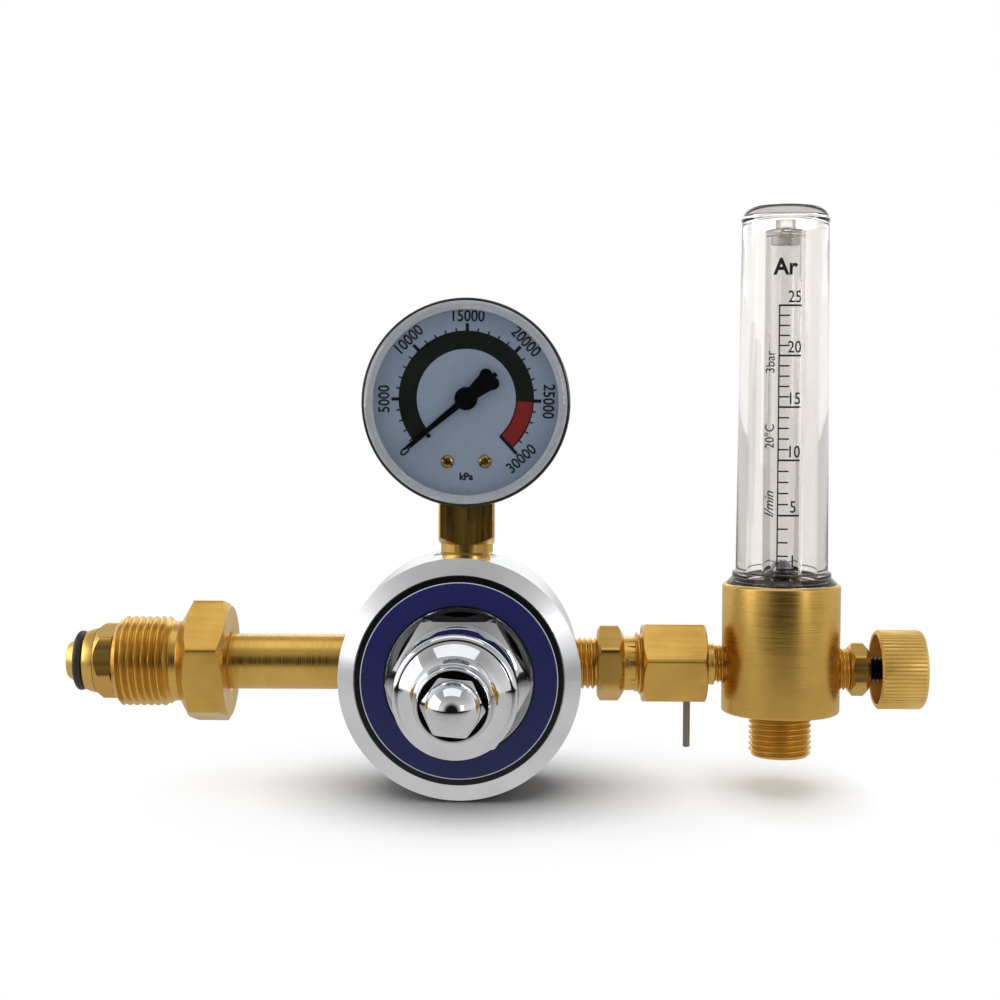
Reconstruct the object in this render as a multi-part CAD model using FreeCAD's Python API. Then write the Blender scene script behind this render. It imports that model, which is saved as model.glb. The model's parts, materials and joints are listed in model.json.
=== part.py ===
import FreeCAD, Part
import math
import os

# Flowmeter regulator for shielding gas: a bottle connection on the left, a preset pressure
# regulator with its contents gauge in the middle, and a float tube with its valve on the right.
# Sizes are in millimetres. The origin is on the port line, in the middle of the inlet thread.
# X runs along the port line towards the flow valve, the dial faces -Y, and Z is up.

V = FreeCAD.Vector

# Clearances between pieces
thread_gap = 0.05
slip_gap = 0.05
nut_gap = 0.1
seat_gap = 0.03
bore_gap = 0.1
lens_gap = 0.1
dial_gap = 0.5

# Inlet connection
inlet_thread_d = 22.91
inlet_thread_length = 11.5
inlet_thread_lead = 1.6
thread_runout = 1.6
undercut_d = 20.4
undercut_length = 1.9
nut_face_d = 19.3
nut_hex = 28.6
nut_hex_length = 12.45
nut_turn = 42.9
tube_d = 14.1
tube_bore_d = 6.0
tube_show = 29.35
tube_grip = 11.0
port_plenum = 1.5
nose_hex = 16.9
nose_hex_length = 4.9
nose_turn = 17.4
nose_ball_d = 16.6
nose_ball_length = 3.0
nose_face_d = 15.0
nose_tip_d = 9.2
nose_tip_length = 2.15
nose_groove = 2.4
nose_bore_d = 4.0
nose_spigot_d = 10.0
nose_spigot_length = 11.0
nose_ring_d = 15.2
nose_ring_section = 2.3
filter_length = 9.0
filter_flange = 1.2
filter_wall = 1.2

# Regulator body, measured forward from the plane of the ports
body_d = 60.0
body_front = 21.5
body_back = 13.7
port_rise = 1.5
bevel_width = 4.0
bevel_depth = 2.0
back_edge = 0.6
label_d = 51.4
label_hole_d = 36.3
label_thickness = 0.5
label_recess = 0.3
rim_chamfer = 0.4
bonnet_thread_d = 32.4
bonnet_seat = 14.0
diaphragm_seat = 3.5
chamber_d = 25.6
chamber_floor = -0.5
high_chamber_d = 11.0
high_chamber_floor = -11.2
nozzle_thread_d = 12.0
nozzle_thread_length = 3.5
high_passage_d = 2.0
high_passage_place = -5.4
low_passage_d = 2.6
low_passage_place = 1.2
gauge_spot_depth = 1.5
gauge_spot_d = 17.0
gauge_hole_depth = 10.0
port_thread_d = 13.16

# Bonnet, adjusting screw and lock nut
bonnet_hex = 31.0
bonnet_hex_front = 30.0
hex_corner_trim = 0.3
tower_d = 30.0
tower_shoulder_d = 29.4
tower_shoulder = 47.0
tower_front = 57.5
spring_bore_d = 24.0
spring_bore_top = 44.0
nut_recess_d = 16.0
nut_recess_depth = 5.0
recess_rim = 0.4
screw_d = 8.0
lock_nut_hex = 13.0
lock_nut_hex_length = 8.0
lock_nut_turn = -5.5
lock_nut_dome_d = 12.4

# Diaphragm, springs and valve
diaphragm_thickness = 0.4
slip_ring_thickness = 1.0
diaphragm_dip = 1.2
plate_d = 22.8
plate_thickness = 2.35
spigot_d = 13.6
spigot_height = 2.7
plate_stem_d = 3.2
washer_d = 10.0
washer_thickness = 1.05
main_spring_wire = 3.2
main_spring_d = 17.4
main_spring_coils = 5.5
button_place = 35.6
button_thickness = 2.6
valve_opening = 0.6
nozzle_head_hex = 12.0
nozzle_head = 2.0
orifice_d = 2.5
nozzle_lip = 0.4
poppet_d = 9.6
poppet_length = 3.6
poppet_flat = 8.4
insert_d = 4.4
insert_depth = 1.2
pin_d = 1.6
poppet_spring_wire = 0.8
poppet_spring_d = 5.6
poppet_spring_coils = 2.0

# Contents gauge, measured forward from the plane of the ports
gauge_offset = 1.2
stem_square = 14.0
stem_neck_d = 13.3
stem_neck = 3.8
stem_show = 9.8
stem_front = 1.0
stem_block_drop = 12.0
stem_bore_d = 3.0
feed_bore_d = 1.6
case_d = 52.0
case_wall = 0.8
case_back = -13.5
case_front = 12.0
case_corner = 3.0
plug_d = 9.0
plug_rise = 8.0
lens_skirt = 2.2
lens_front = 17.0
lens_edge = 15.5
lens_pane = 2.0
dial_rise = 1.0
dial_place = 7.5
dial_thickness = 0.5
dial_screw_spread = 4.7
dial_screw_drop = 15.8
dial_screw_head_d = 3.3
dial_screw_head = 0.8
dial_screw_d = 1.8
pillar_d = 3.6
plate_back = 1.0
plate_metal = 0.8
plate_front = 5.4
plate_rim = 2.9
movement_screw_d = 1.6
movement_screw_head_d = 2.6
bourdon_radius = 17.5
bourdon_depth = 7.0
bourdon_width = 2.2
bourdon_wall = 0.4
bourdon_place = -3.5
bourdon_start = 263.0
bourdon_sweep = 288.0
tip_sweep = 11.0
tooth_module = 0.25
pinion_teeth = 10
sector_teeth = 96
sector_cut_teeth = 13
sector_first_tooth = 2
sector_angle = 41.0
sector_addendum = 0.55
pinion_addendum = 1.0
tooth_clearance = 0.25
pressure_angle = 20.0
backlash = 0.04
sector_thickness = 0.8
sector_place = 3.6
pinion_place = 3.3
pinion_length = 1.4
arbor_d = 1.1
sector_arbor_d = 1.4
sector_hub_d = 3.6
tail_length = 4.6
tail_angle = 268.2
link_width = 1.1
link_thickness = 0.5
link_pin_d = 0.9
hair_start = 1.3
hair_end = 4.9
hair_turns = 4.25
hair_metal = 0.12
hair_height = 0.35
hair_place = 4.8
pointer_angle = 219.5
pointer_place = 10.0
pointer_metal = 0.4
pointer_length = 20.0
pointer_hub_d = 5.8
stop_angle = 225.0
stop_radius = 13.2
stop_pin_d = 1.0

# Outlet fittings, from left to right
outlet_stand_off = 4.7
outlet_hex = 17.0
outlet_hex_length = 6.6
outlet_turn = 31.8
outlet_neck_d = 13.8
outlet_neck_length = 2.8
coupling_thread_d = 15.875
coupling_thread_show = 1.9
coupling_thread_grip = 8.0
coupling_hex = 19.5
coupling_length = 16.3
coupling_turn = 50.5
tail_flange_d = 13.6
tail_flange_length = 3.0
seal_thickness = 1.2
tail_collar_d = 10.7
tail_collar_length = 2.4
tail_thread_d = 9.73
tail_thread_show = 1.95
tail_thread_grip = 7.6
outlet_bore_d = 5.0
pin_hole_depth = 1.6
pin_place = 4.6
steel_pin_d = 1.8
steel_pin_show = 11.75

# Flow body, tube and cover
flow_d = 30.0
flow_top = 20.8
flow_bottom = 12.2
flow_edge = 0.5
gas_thread_d = 15.875
gas_thread_length = 11.3
gas_bore_d = 8.0
gas_bore_depth = 17.5
gas_cone_d = 12.0
cover_thread_d = 22.8
cover_thread_length = 9.8
cover_foot_d = 28.0
cover_foot = 1.7
cover_collar_d = 25.1
cover_collar = 1.5
cover_d = 23.4
cover_top_d = 21.9
cover_height = 96.2
cover_dome = 4.0
cover_ring = 0.25
cover_wall = 2.3
cover_bore_d = 18.4
seal_ring_height = 1.0
tube_od = 10.0
tube_socket = 13.8
tube_seal = 1.0
tube_height = 88.2
taper_low_d = 6.2
taper_high_d = 7.5
riser_d = 3.0
ball_d = 6.0
ball_rest = 0.5
stop_depth = 2.5
stop_cap = 1.5
valve_drop = 1.25
seat_bore_d = 2.0
seat_place = 6.5
valve_chamber = 2.5
packing_room = 2.0
gland_thread_d = 10.6
gland_show = 2.2
gland_hex = 12.0
gland_hex_length = 5.0
gland_turn = 25.6
spindle_thread_d = 6.4
spindle_shank_d = 4.8
needle_cone = 0.8
gland_packing = 0.4
knob_d = 20.2
knob_length = 11.85
knob_gap = 2.05
knob_mouth_d = 17.8
knob_mouth_depth = 6.1
knob_ridges = 60
knurl_depth = 0.25
knob_end_chamfer = 1.0
knob_rim_chamfer = 0.5

# Places worked out from the sizes above
nut_front = -inlet_thread_length / 2
undercut_start = inlet_thread_length / 2
hex_start = undercut_start + thread_runout + undercut_length
nut_back = hex_start + nut_hex_length
nose_shoulder = nut_front - 0.3 - inlet_thread_lead
body_r = body_d / 2
body_x = nut_back + tube_show + body_r
gauge_x = body_x + gauge_offset
gauge_z = body_r - port_rise - gauge_spot_depth + stem_neck + stem_show + case_d / 2
case_inner_d = case_d - 2 * case_wall
lens_d = case_inner_d - 2 * lens_gap
dial_d = case_inner_d - 2 * dial_gap
outlet_hex_start = body_x + body_r + outlet_stand_off
outlet_neck_start = outlet_hex_start + outlet_hex_length
coupling_thread_start = outlet_neck_start + outlet_neck_length
coupling_start = coupling_thread_start + coupling_thread_show
coupling_end = coupling_start + coupling_length
tail_thread_start = coupling_end + tail_collar_length
flow_x = tail_thread_start + tail_thread_show + flow_d / 2
port_hole_end = body_r - tube_grip
valve_seat_x = flow_x + seat_place
packing_start = valve_seat_x + valve_chamber
gland_start = packing_start + packing_room
gland_hex_start = flow_x + flow_d / 2 + gland_show
gland_hex_end = gland_hex_start + gland_hex_length
knob_start = gland_hex_end + knob_gap
cover_bottom = flow_top - cover_thread_length
well_floor = cover_bottom - seal_ring_height
tube_bottom = flow_top - tube_socket + tube_seal
ball_shelf = flow_top + ball_rest
tube_top = flow_top + tube_height
cover_top = flow_top + cover_height

# Directions: each turns a piece's own upward axis to the named side
RIGHT = FreeCAD.Rotation(V(0, 1, 0), V(0, 0, 1), V(1, 0, 0), "ZXY")
FRONT = FreeCAD.Rotation(V(1, 0, 0), V(0, 0, 1), V(0, -1, 0), "ZXY")
UP = FreeCAD.Rotation()
DOWN = FreeCAD.Rotation(V(1, 0, 0), 180)


def placed(shape, facing, x=0.0, y=0.0, z=0.0):
    """A copy of a shape, turned to face one way and set at a point."""
    moved = shape.copy()
    moved.Placement = FreeCAD.Placement(V(x, y, z), facing).multiply(shape.Placement)
    return moved


def spun(shape, degrees):
    """A copy of a shape, turned about its own upward axis."""
    turned_copy = shape.copy()
    turned_copy.rotate(V(0, 0, 0), V(0, 0, 1), degrees)
    return turned_copy


def section(*steps):
    """A closed face of (radius, height) points; a step of two points is an arc through the first."""
    first = V(steps[0][0], 0, steps[0][1])
    here = first
    edges = []
    for step in steps[1:]:
        if isinstance(step[0], tuple):
            through = V(step[0][0], 0, step[0][1])
            end = V(step[1][0], 0, step[1][1])
            edges.append(Part.Arc(here, through, end).toShape())
        else:
            end = V(step[0], 0, step[1])
            edges.append(Part.LineSegment(here, end).toShape())
        here = end
    if (here - first).Length > 1e-6:
        edges.append(Part.LineSegment(here, first).toShape())
    return Part.Face(Part.Wire(edges))


def turned(*steps):
    """A solid of revolution about the upward axis."""
    return section(*steps).revolve(V(0, 0, 0), V(0, 0, 1), 360)


def rod(diameter, low, high, x=0.0, y=0.0):
    """A plain round bar between two heights."""
    return Part.makeCylinder(diameter / 2, high - low, V(x, y, low))


def ring(outer, inner, low, high):
    """A flat ring between two heights."""
    return rod(outer, low, high).cut(rod(inner, low - 1, high + 1))


def chamfered_rod(diameter, low, high, low_chamfer, high_chamfer):
    """A round bar with a chamfer at each end; a chamfer of 0 leaves a sharp edge."""
    radius = diameter / 2
    steps = [(0, low), (radius - low_chamfer, low)]
    if low_chamfer:
        steps.append((radius, low + low_chamfer))
    steps.append((radius, high - high_chamfer))
    if high_chamfer:
        steps.append((radius - high_chamfer, high))
    steps.append((0, high))
    return turned(*steps)


def polygon_prism(points, low, high):
    """A straight prism over a closed outline of (x, y) points."""
    corners = [V(x, y, low) for x, y in points]
    return Part.Face(Part.makePolygon(corners + corners[:1])).extrude(V(0, 0, high - low))


def hexagon(across_flats, low, high, turn=0.0):
    """A hexagonal bar, with one corner at the angle of turn."""
    radius = across_flats / math.sqrt(3)
    angles = [math.radians(turn + 60 * i) for i in range(6)]
    return polygon_prism([(radius * math.cos(a), radius * math.sin(a)) for a in angles], low, high)


def hex_blank(across_flats, low, high, turn=0.0, low_face=0.97, high_face=0.97, slope=30.0, trim=0.0):
    """A hexagon whose corners are turned off at its ends, as on a bar-turned nut.

    Each end's face is a share of the width across flats; a share of 0 leaves that end square.
    """
    corner = across_flats / math.sqrt(3) - trim
    tangent = math.tan(math.radians(slope))
    low_r = across_flats / 2 * low_face if low_face else corner
    high_r = across_flats / 2 * high_face if high_face else corner
    steps = [(0, low), (low_r, low)]
    if low_face:
        steps.append((corner, low + (corner - low_r) * tangent))
    if high_face:
        steps.append((corner, high - (corner - high_r) * tangent))
    steps += [(high_r, high), (0, high)]
    return hexagon(across_flats, low, high, turn).common(turned(*steps))


def crown(radius, low, high):
    """Middle point of the arc from a rim at one height to the axis at another."""
    rise = high - low
    ball = (radius ** 2 + rise ** 2) / (2 * abs(rise))
    half = math.asin(radius / ball) / 2
    drop = ball * (1 - math.cos(half))
    return (ball * math.sin(half), high - drop if rise > 0 else high + drop)


def coil_spring(wire, mean_d, low, high, coils):
    """A round-wire spring that just fits between two faces."""
    height = high - low - wire
    helix = Part.makeHelix(height / coils, height, mean_d / 2)
    start = V(mean_d / 2, 0, 0)
    circle = Part.Wire(Part.makeCircle(wire / 2, start, V(0, 1, 0)))
    spring = Part.Wire(helix.Edges).makePipeShell([circle], True, True)
    return placed(spring, UP, 0, 0, low + wire / 2)


def capsule(start, end, diameter, low, high):
    """A flat bar with round ends between two (x, y) points."""
    radius = diameter / 2
    run = V(end[0] - start[0], end[1] - start[1], 0)
    side = V(-run.y, run.x, 0).normalize() * radius
    a = V(start[0], start[1], low)
    b = V(end[0], end[1], low)
    along = V(run).normalize() * radius
    edges = [
        Part.LineSegment(a + side, b + side).toShape(),
        Part.Arc(b + side, b + along, b - side).toShape(),
        Part.LineSegment(b - side, a - side).toShape(),
        Part.Arc(a - side, a - along, a + side).toShape(),
    ]
    return Part.Face(Part.Wire(edges)).extrude(V(0, 0, high - low))


def joined(first, *others):
    """Shapes fused into one, with the seams between flush faces taken out."""
    return first.fuse(list(others)).removeSplitter()


def on_body(shape):
    """Set a piece on the regulator's own axis, facing the front."""
    return placed(shape, FRONT, body_x, 0, -port_rise)


def on_gauge(shape):
    """Set a piece on the gauge's axis, facing the front."""
    return placed(shape, FRONT, gauge_x, 0, gauge_z)


def on_pivot(shape):
    """Set a piece of the movement on the pointer's axis, facing the front."""
    return placed(shape, FRONT, gauge_x, 0, gauge_z + dial_rise)


def on_ports(shape):
    """Set a piece on the port line, facing right; its height is the distance from the origin."""
    return placed(shape, RIGHT)


def on_valve(shape):
    """Set a piece on the flow valve's axis, facing right."""
    return placed(shape, RIGHT, 0, 0, -valve_drop)


def on_flow(shape):
    """Set a piece on the float tube's axis, facing up."""
    return placed(shape, UP, flow_x, 0, 0)


def inlet_tube():
    """Straight tube between bottle connection and regulator, counterbored for nose and filter."""
    end = body_x - port_hole_end - port_plenum
    pocket = nose_shoulder + nose_spigot_length + filter_length + 1
    tube = chamfered_rod(tube_d, nose_shoulder, end, 0.3, 0.5)
    tube = tube.cut(rod(tube_bore_d, nose_shoulder - 1, end + 1))
    return on_ports(tube.cut(rod(nose_spigot_d + 2 * thread_gap, nose_shoulder - 1, pocket)))


def inlet_nut():
    """Bottle nut: lead chamfer, thread, undercut and hexagon, loose on the tube."""
    thread_r = inlet_thread_d / 2
    front = nut_front - inlet_thread_lead
    undercut_r = undercut_d / 2
    shank = turned(
        (0, front), (nut_face_d / 2, front), (thread_r, nut_front), (thread_r, undercut_start),
        (undercut_r, undercut_start + thread_runout), (undercut_r, hex_start + 1), (0, hex_start + 1),
    )
    grip = hex_blank(nut_hex, hex_start, nut_back, nut_turn, 1.01 * undercut_d / nut_hex)
    bore_r = tube_d / 2 + nut_gap
    bore = turned(
        (0, front - 1), (bore_r + 0.6, front - 1), (bore_r + 0.6, front), (bore_r, front + 0.6),
        (bore_r, nut_back - 0.7), (bore_r + 0.7, nut_back), (bore_r + 0.7, nut_back + 1),
        (0, nut_back + 1),
    )
    return on_ports(joined(shank, grip).cut(bore))


def nose_nipple():
    """Bullnose that seals in the bottle valve, with a wrench hexagon and a spigot in the tube."""
    hex_low = nose_shoulder - nose_hex_length
    face = hex_low - nose_ball_length
    groove = face - nose_groove
    tip = groove - nose_tip_length
    groove_r = nose_ring_d / 2 - nose_ring_section
    lip_r = groove_r + 0.4
    nose = turned(
        (0, tip), (nose_tip_d / 2 - 0.3, tip), (nose_tip_d / 2, tip + 0.3), (lip_r, groove),
        (groove_r, groove), (groove_r, face), (nose_face_d / 2 - 0.3, face), (nose_face_d / 2, face + 0.2),
        ((nose_ball_d / 2 - 0.35, face + nose_ball_length * 0.45), (nose_ball_d / 2, hex_low)),
        (nose_ball_d / 2, hex_low + 0.5), (0, hex_low + 0.5),
    )
    grip = hex_blank(nose_hex, hex_low, nose_shoulder, nose_turn, high_face=0, slope=50.0)
    spigot = chamfered_rod(nose_spigot_d, nose_shoulder - 0.5, nose_shoulder + nose_spigot_length, 0, 0.5)
    body = joined(nose, grip, spigot)
    return on_ports(body.cut(rod(nose_bore_d, tip - 1, nose_shoulder + nose_spigot_length + 1)))


def nose_o_ring():
    """Seal in the groove of the nose."""
    face = nose_shoulder - nose_hex_length - nose_ball_length
    section_r = nose_ring_section / 2
    mean_r = nose_ring_d / 2 - section_r + slip_gap
    return on_ports(placed(Part.makeTorus(mean_r, section_r), UP, 0, 0, face - nose_groove / 2))


def inlet_filter():
    """Sintered thimble behind the nose's spigot."""
    low = nose_shoulder + nose_spigot_length + seat_gap
    high = low + filter_length
    thimble_r = tube_bore_d / 2 + filter_wall * 0.7
    return on_ports(turned(
        (thimble_r - filter_wall, low), (nose_spigot_d / 2, low), (nose_spigot_d / 2, low + filter_flange),
        (thimble_r, low + filter_flange), (thimble_r - 0.4, high - 0.6), (thimble_r - 1.0, high),
        (0, high), (0, high - filter_wall), (thimble_r - filter_wall, high - filter_wall),
    ))


def regulator_body():
    """Turned body: a bored front, a label recess and a bevel, with three ports round its side."""
    front_r = body_r - bevel_width
    recess_r = label_d / 2 + bore_gap
    rim_r = label_hole_d / 2 - 0.05
    hole_r = rim_r - rim_chamfer
    nozzle_r = nozzle_thread_d / 2 + thread_gap
    nozzle_end = chamber_floor - nozzle_thread_length
    blank = turned(
        (0, -body_back), (body_r - back_edge, -body_back), (body_r, back_edge - body_back),
        (body_r, body_front - bevel_depth), (front_r, body_front), (recess_r, body_front),
        (recess_r, body_front - label_recess), (rim_r, body_front - label_recess), (rim_r, body_front),
        (hole_r, body_front - rim_chamfer), (hole_r, bonnet_seat), (bonnet_thread_d / 2, bonnet_seat),
        (bonnet_thread_d / 2, diaphragm_seat), (chamber_d / 2, diaphragm_seat),
        (chamber_d / 2, chamber_floor), (nozzle_r, chamber_floor), (nozzle_r, nozzle_end),
        (high_chamber_d / 2, nozzle_end), (high_chamber_d / 2, high_chamber_floor),
        (0, high_chamber_floor),
    )
    body = on_body(blank)
    inner = body_r - tube_grip
    inlet_hole = rod(tube_d + 2 * thread_gap, body_x - body_r - 1, body_x - inner)
    outlet_hole = rod(port_thread_d + 2 * thread_gap, body_x + inner, body_x + body_r + 1)
    high_passage = rod(high_passage_d, body_x - inner - 1, body_x)
    low_passage = rod(low_passage_d, body_x + chamber_d / 2 - 2, body_x + inner + 1)
    top = body_r - port_rise
    hole_low = top - gauge_spot_depth - gauge_hole_depth
    gauge_hole = rod(port_thread_d + 2 * thread_gap, hole_low, top + 1)
    spot = rod(gauge_spot_d, top - gauge_spot_depth, top + 2)
    bend_y = -(high_passage_place - high_passage_d / 2)
    bend_z = high_chamber_d / 2 - port_rise - 1
    slant = V(-gauge_offset, bend_y, bend_z - hole_low)
    gauge_passage = Part.makeCylinder(high_passage_d / 2, slant.Length, V(gauge_x, 0, hole_low), slant)
    return body.cut([
        placed(inlet_hole, RIGHT),
        placed(outlet_hole, RIGHT),
        placed(high_passage, RIGHT, 0, -high_passage_place, 0),
        placed(low_passage, RIGHT, 0, -low_passage_place, 0),
        placed(gauge_hole, UP, gauge_x),
        placed(spot, UP, gauge_x),
        gauge_passage,
    ])


def label_ring():
    """Thin printed ring that lies in the body's front recess."""
    low = body_front - label_recess
    return on_body(ring(label_d, label_hole_d, low, low + label_thickness))


def bonnet():
    """Spring housing: a threaded skirt, a hexagon and a tower with a recess for the lock nut."""
    skirt_low = diaphragm_seat + diaphragm_thickness + slip_ring_thickness
    skirt = chamfered_rod(bonnet_thread_d - 2 * thread_gap, skirt_low, bonnet_seat + 1, 0.5, 0)
    grip = hex_blank(bonnet_hex, bonnet_seat, bonnet_hex_front, low_face=0, slope=20.0, trim=hex_corner_trim)
    tower_r = tower_d / 2
    shoulder_r = tower_shoulder_d / 2
    rim_r = nut_recess_d / 2 + recess_rim
    round_r = 1.5
    tower = turned(
        (0, bonnet_hex_front - 1), (tower_r, bonnet_hex_front - 1), (tower_r, bonnet_hex_front + 0.5),
        (shoulder_r, tower_shoulder - round_r),
        ((shoulder_r - 0.3 * round_r, tower_shoulder - 0.3 * round_r),
         (shoulder_r - round_r, tower_shoulder)),
        ((rim_r + 1.45, tower_front - 6.85), (rim_r + 0.3, tower_front - 2.0)),
        ((rim_r + 0.25, tower_front - 1.0), (rim_r, tower_front - 0.15)),
        (rim_r - 0.15, tower_front), (0, tower_front),
    )
    recess_floor = tower_front - nut_recess_depth
    shell = joined(skirt, grip, tower)
    return on_body(shell.cut([
        rod(nut_recess_d, recess_floor, tower_front + 1),
        rod(screw_d + 2 * thread_gap, spring_bore_top - 1, recess_floor + 1),
        rod(spring_bore_d, skirt_low - 1, spring_bore_top),
    ]))


def spring_button():
    """Cap between the adjusting screw and the main spring."""
    top = button_place + button_thickness
    blank = turned(
        (0, button_place - spigot_height), (spigot_d / 2 - 0.4, button_place - spigot_height),
        (spigot_d / 2, button_place - spigot_height + 0.4), (spigot_d / 2, button_place),
        (plate_d / 2, button_place), (plate_d / 2, top - 0.5), (plate_d / 2 - 0.5, top),
        (screw_d / 2, top), (0, top - screw_d / 4),
    )
    return on_body(blank)


def adjusting_screw():
    """Screw that sets the spring; its slot is hidden under the lock nut."""
    top = tower_front - nut_recess_depth + lock_nut_hex_length + 2
    tip = button_place + button_thickness - screw_d / 4 + seat_gap
    screw = turned(
        (0, tip), (screw_d / 2 - 0.5, tip + screw_d / 4 - 0.25), (screw_d / 2, tip + screw_d / 4 + 0.5),
        (screw_d / 2, top - 0.6), (screw_d / 2 - 0.6, top), (0, top),
    )
    slot = Part.makeBox(screw_d + 2, 1.2, 3, V(-screw_d / 2 - 1, -0.6, top - 1.5))
    return on_body(screw.cut(slot))


def acorn_nut():
    """Domed lock nut over the adjusting screw."""
    low = tower_front - nut_recess_depth
    top = low + lock_nut_hex_length
    dome_r = lock_nut_dome_d / 2
    grip = hex_blank(lock_nut_hex, low, top, lock_nut_turn, trim=0.15)
    band = 0.75
    bend = math.sqrt(0.5) * dome_r
    dome = turned((0, top - 1), (dome_r, top - 1), (dome_r, top + band),
                  ((bend, top + band + bend), (0, top + band + dome_r)))
    bore = rod(screw_d + 2 * thread_gap, low - 1, top + 3)
    return on_body(joined(grip, dome).cut(bore))


def slip_ring():
    """Ring that keeps the turning bonnet from dragging the diaphragm."""
    low = diaphragm_seat + diaphragm_thickness
    outer_d = bonnet_thread_d - 4 * thread_gap
    return on_body(ring(outer_d, spring_bore_d + 0.8, low, low + slip_ring_thickness))


def diaphragm():
    """Rubber disc with one rolled dip, clamped at its rim."""
    low = diaphragm_seat
    top = low + diaphragm_thickness
    outer = chamber_d / 2 - 0.3
    inner = plate_d / 2 - 3.9
    middle = (outer + inner) / 2
    hole = plate_stem_d / 2 + slip_gap
    rim = bonnet_thread_d / 2 - 0.2
    return on_body(turned(
        (hole, low), (inner, low), ((middle, low - diaphragm_dip), (outer, low)), (rim, low),
        (rim, top), (outer, top), ((middle, top - diaphragm_dip), (inner, top)), (hole, top),
    ))


def diaphragm_plate():
    """Plate under the main spring, with a rivet stem through the diaphragm."""
    low = diaphragm_seat + diaphragm_thickness + slip_gap
    top = low + plate_thickness
    stem_low = diaphragm_seat - slip_gap - washer_thickness - 0.2
    return on_body(turned(
        (0, stem_low), (plate_stem_d / 2, stem_low), (plate_stem_d / 2, low), (plate_d / 2 - 0.4, low),
        (plate_d / 2, low + 0.4), (plate_d / 2, top), (spigot_d / 2, top),
        (spigot_d / 2, top + spigot_height - 0.4), (spigot_d / 2 - 0.4, top + spigot_height),
        (0, top + spigot_height),
    ))


def diaphragm_washer():
    """Backing washer riveted under the diaphragm."""
    top = diaphragm_seat - slip_gap
    return on_body(ring(washer_d, plate_stem_d + 2 * seat_gap, top - washer_thickness, top))


def main_spring():
    """Spring that sets the outlet pressure."""
    low = diaphragm_seat + diaphragm_thickness + slip_gap + plate_thickness + seat_gap
    high = button_place - seat_gap
    return on_body(coil_spring(main_spring_wire, main_spring_d, low, high, main_spring_coils))


def valve_nozzle():
    """Seat that screws into the chamber floor, with a hexagon head and a raised lip behind."""
    low = chamber_floor - nozzle_thread_length
    high = chamber_floor + nozzle_head
    lip_r = orifice_d / 2 + 0.5
    thread = chamfered_rod(nozzle_thread_d, low, chamber_floor, 0.4, 0)
    lip = turned((0, low - nozzle_lip), (lip_r - 0.2, low - nozzle_lip), (lip_r + 0.3, low), (0, low))
    head = hex_blank(nozzle_head_hex, chamber_floor, high, low_face=0)
    return on_body(joined(thread, lip, head).cut(rod(orifice_d, low - 1, high + 1)))


def poppet_front():
    """Height of the poppet's face when the valve stands open."""
    return chamber_floor - nozzle_thread_length - nozzle_lip - valve_opening


def valve_poppet():
    """Poppet with three flats for the gas to pass and a pocket for its soft seat."""
    front = poppet_front()
    back = front - poppet_length
    blank = chamfered_rod(poppet_d, back, front, 0.4, 0.6)
    blank = blank.cut(rod(insert_d + 2 * seat_gap, front - insert_depth, front + 1))
    blank = blank.cut(rod(pin_d + 2 * seat_gap, front - insert_depth - 1, front))
    for i in range(3):
        flat = Part.makeBox(poppet_d, poppet_d, poppet_length + 2,
                            V(poppet_flat / 2, -poppet_d / 2, back - 1))
        blank = blank.cut(spun(flat, 120 * i + 30))
    return on_body(blank)


def seat_insert():
    """Soft seat pressed into the poppet."""
    front = poppet_front()
    return on_body(ring(insert_d, pin_d + 2 * seat_gap, front - insert_depth + seat_gap, front))


def valve_pin():
    """Pin by which the diaphragm pushes the poppet open."""
    low = poppet_front() - insert_depth - 1 + seat_gap
    high = diaphragm_seat - slip_gap - washer_thickness - 0.2 - seat_gap
    return on_body(chamfered_rod(pin_d, low, high, 0.2, 0.2))


def poppet_spring():
    """Light spring that closes the poppet."""
    low = high_chamber_floor + seat_gap
    high = poppet_front() - poppet_length - seat_gap
    return on_body(coil_spring(poppet_spring_wire, poppet_spring_d, low, high, poppet_spring_coils))


def gauge_seal():
    """Copper washer under the gauge's threaded end."""
    low = body_r - port_rise - gauge_spot_depth - gauge_hole_depth + seat_gap
    return placed(ring(port_thread_d - 1.0, stem_bore_d + 1.0, low, low + seal_thickness), UP, gauge_x)


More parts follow.
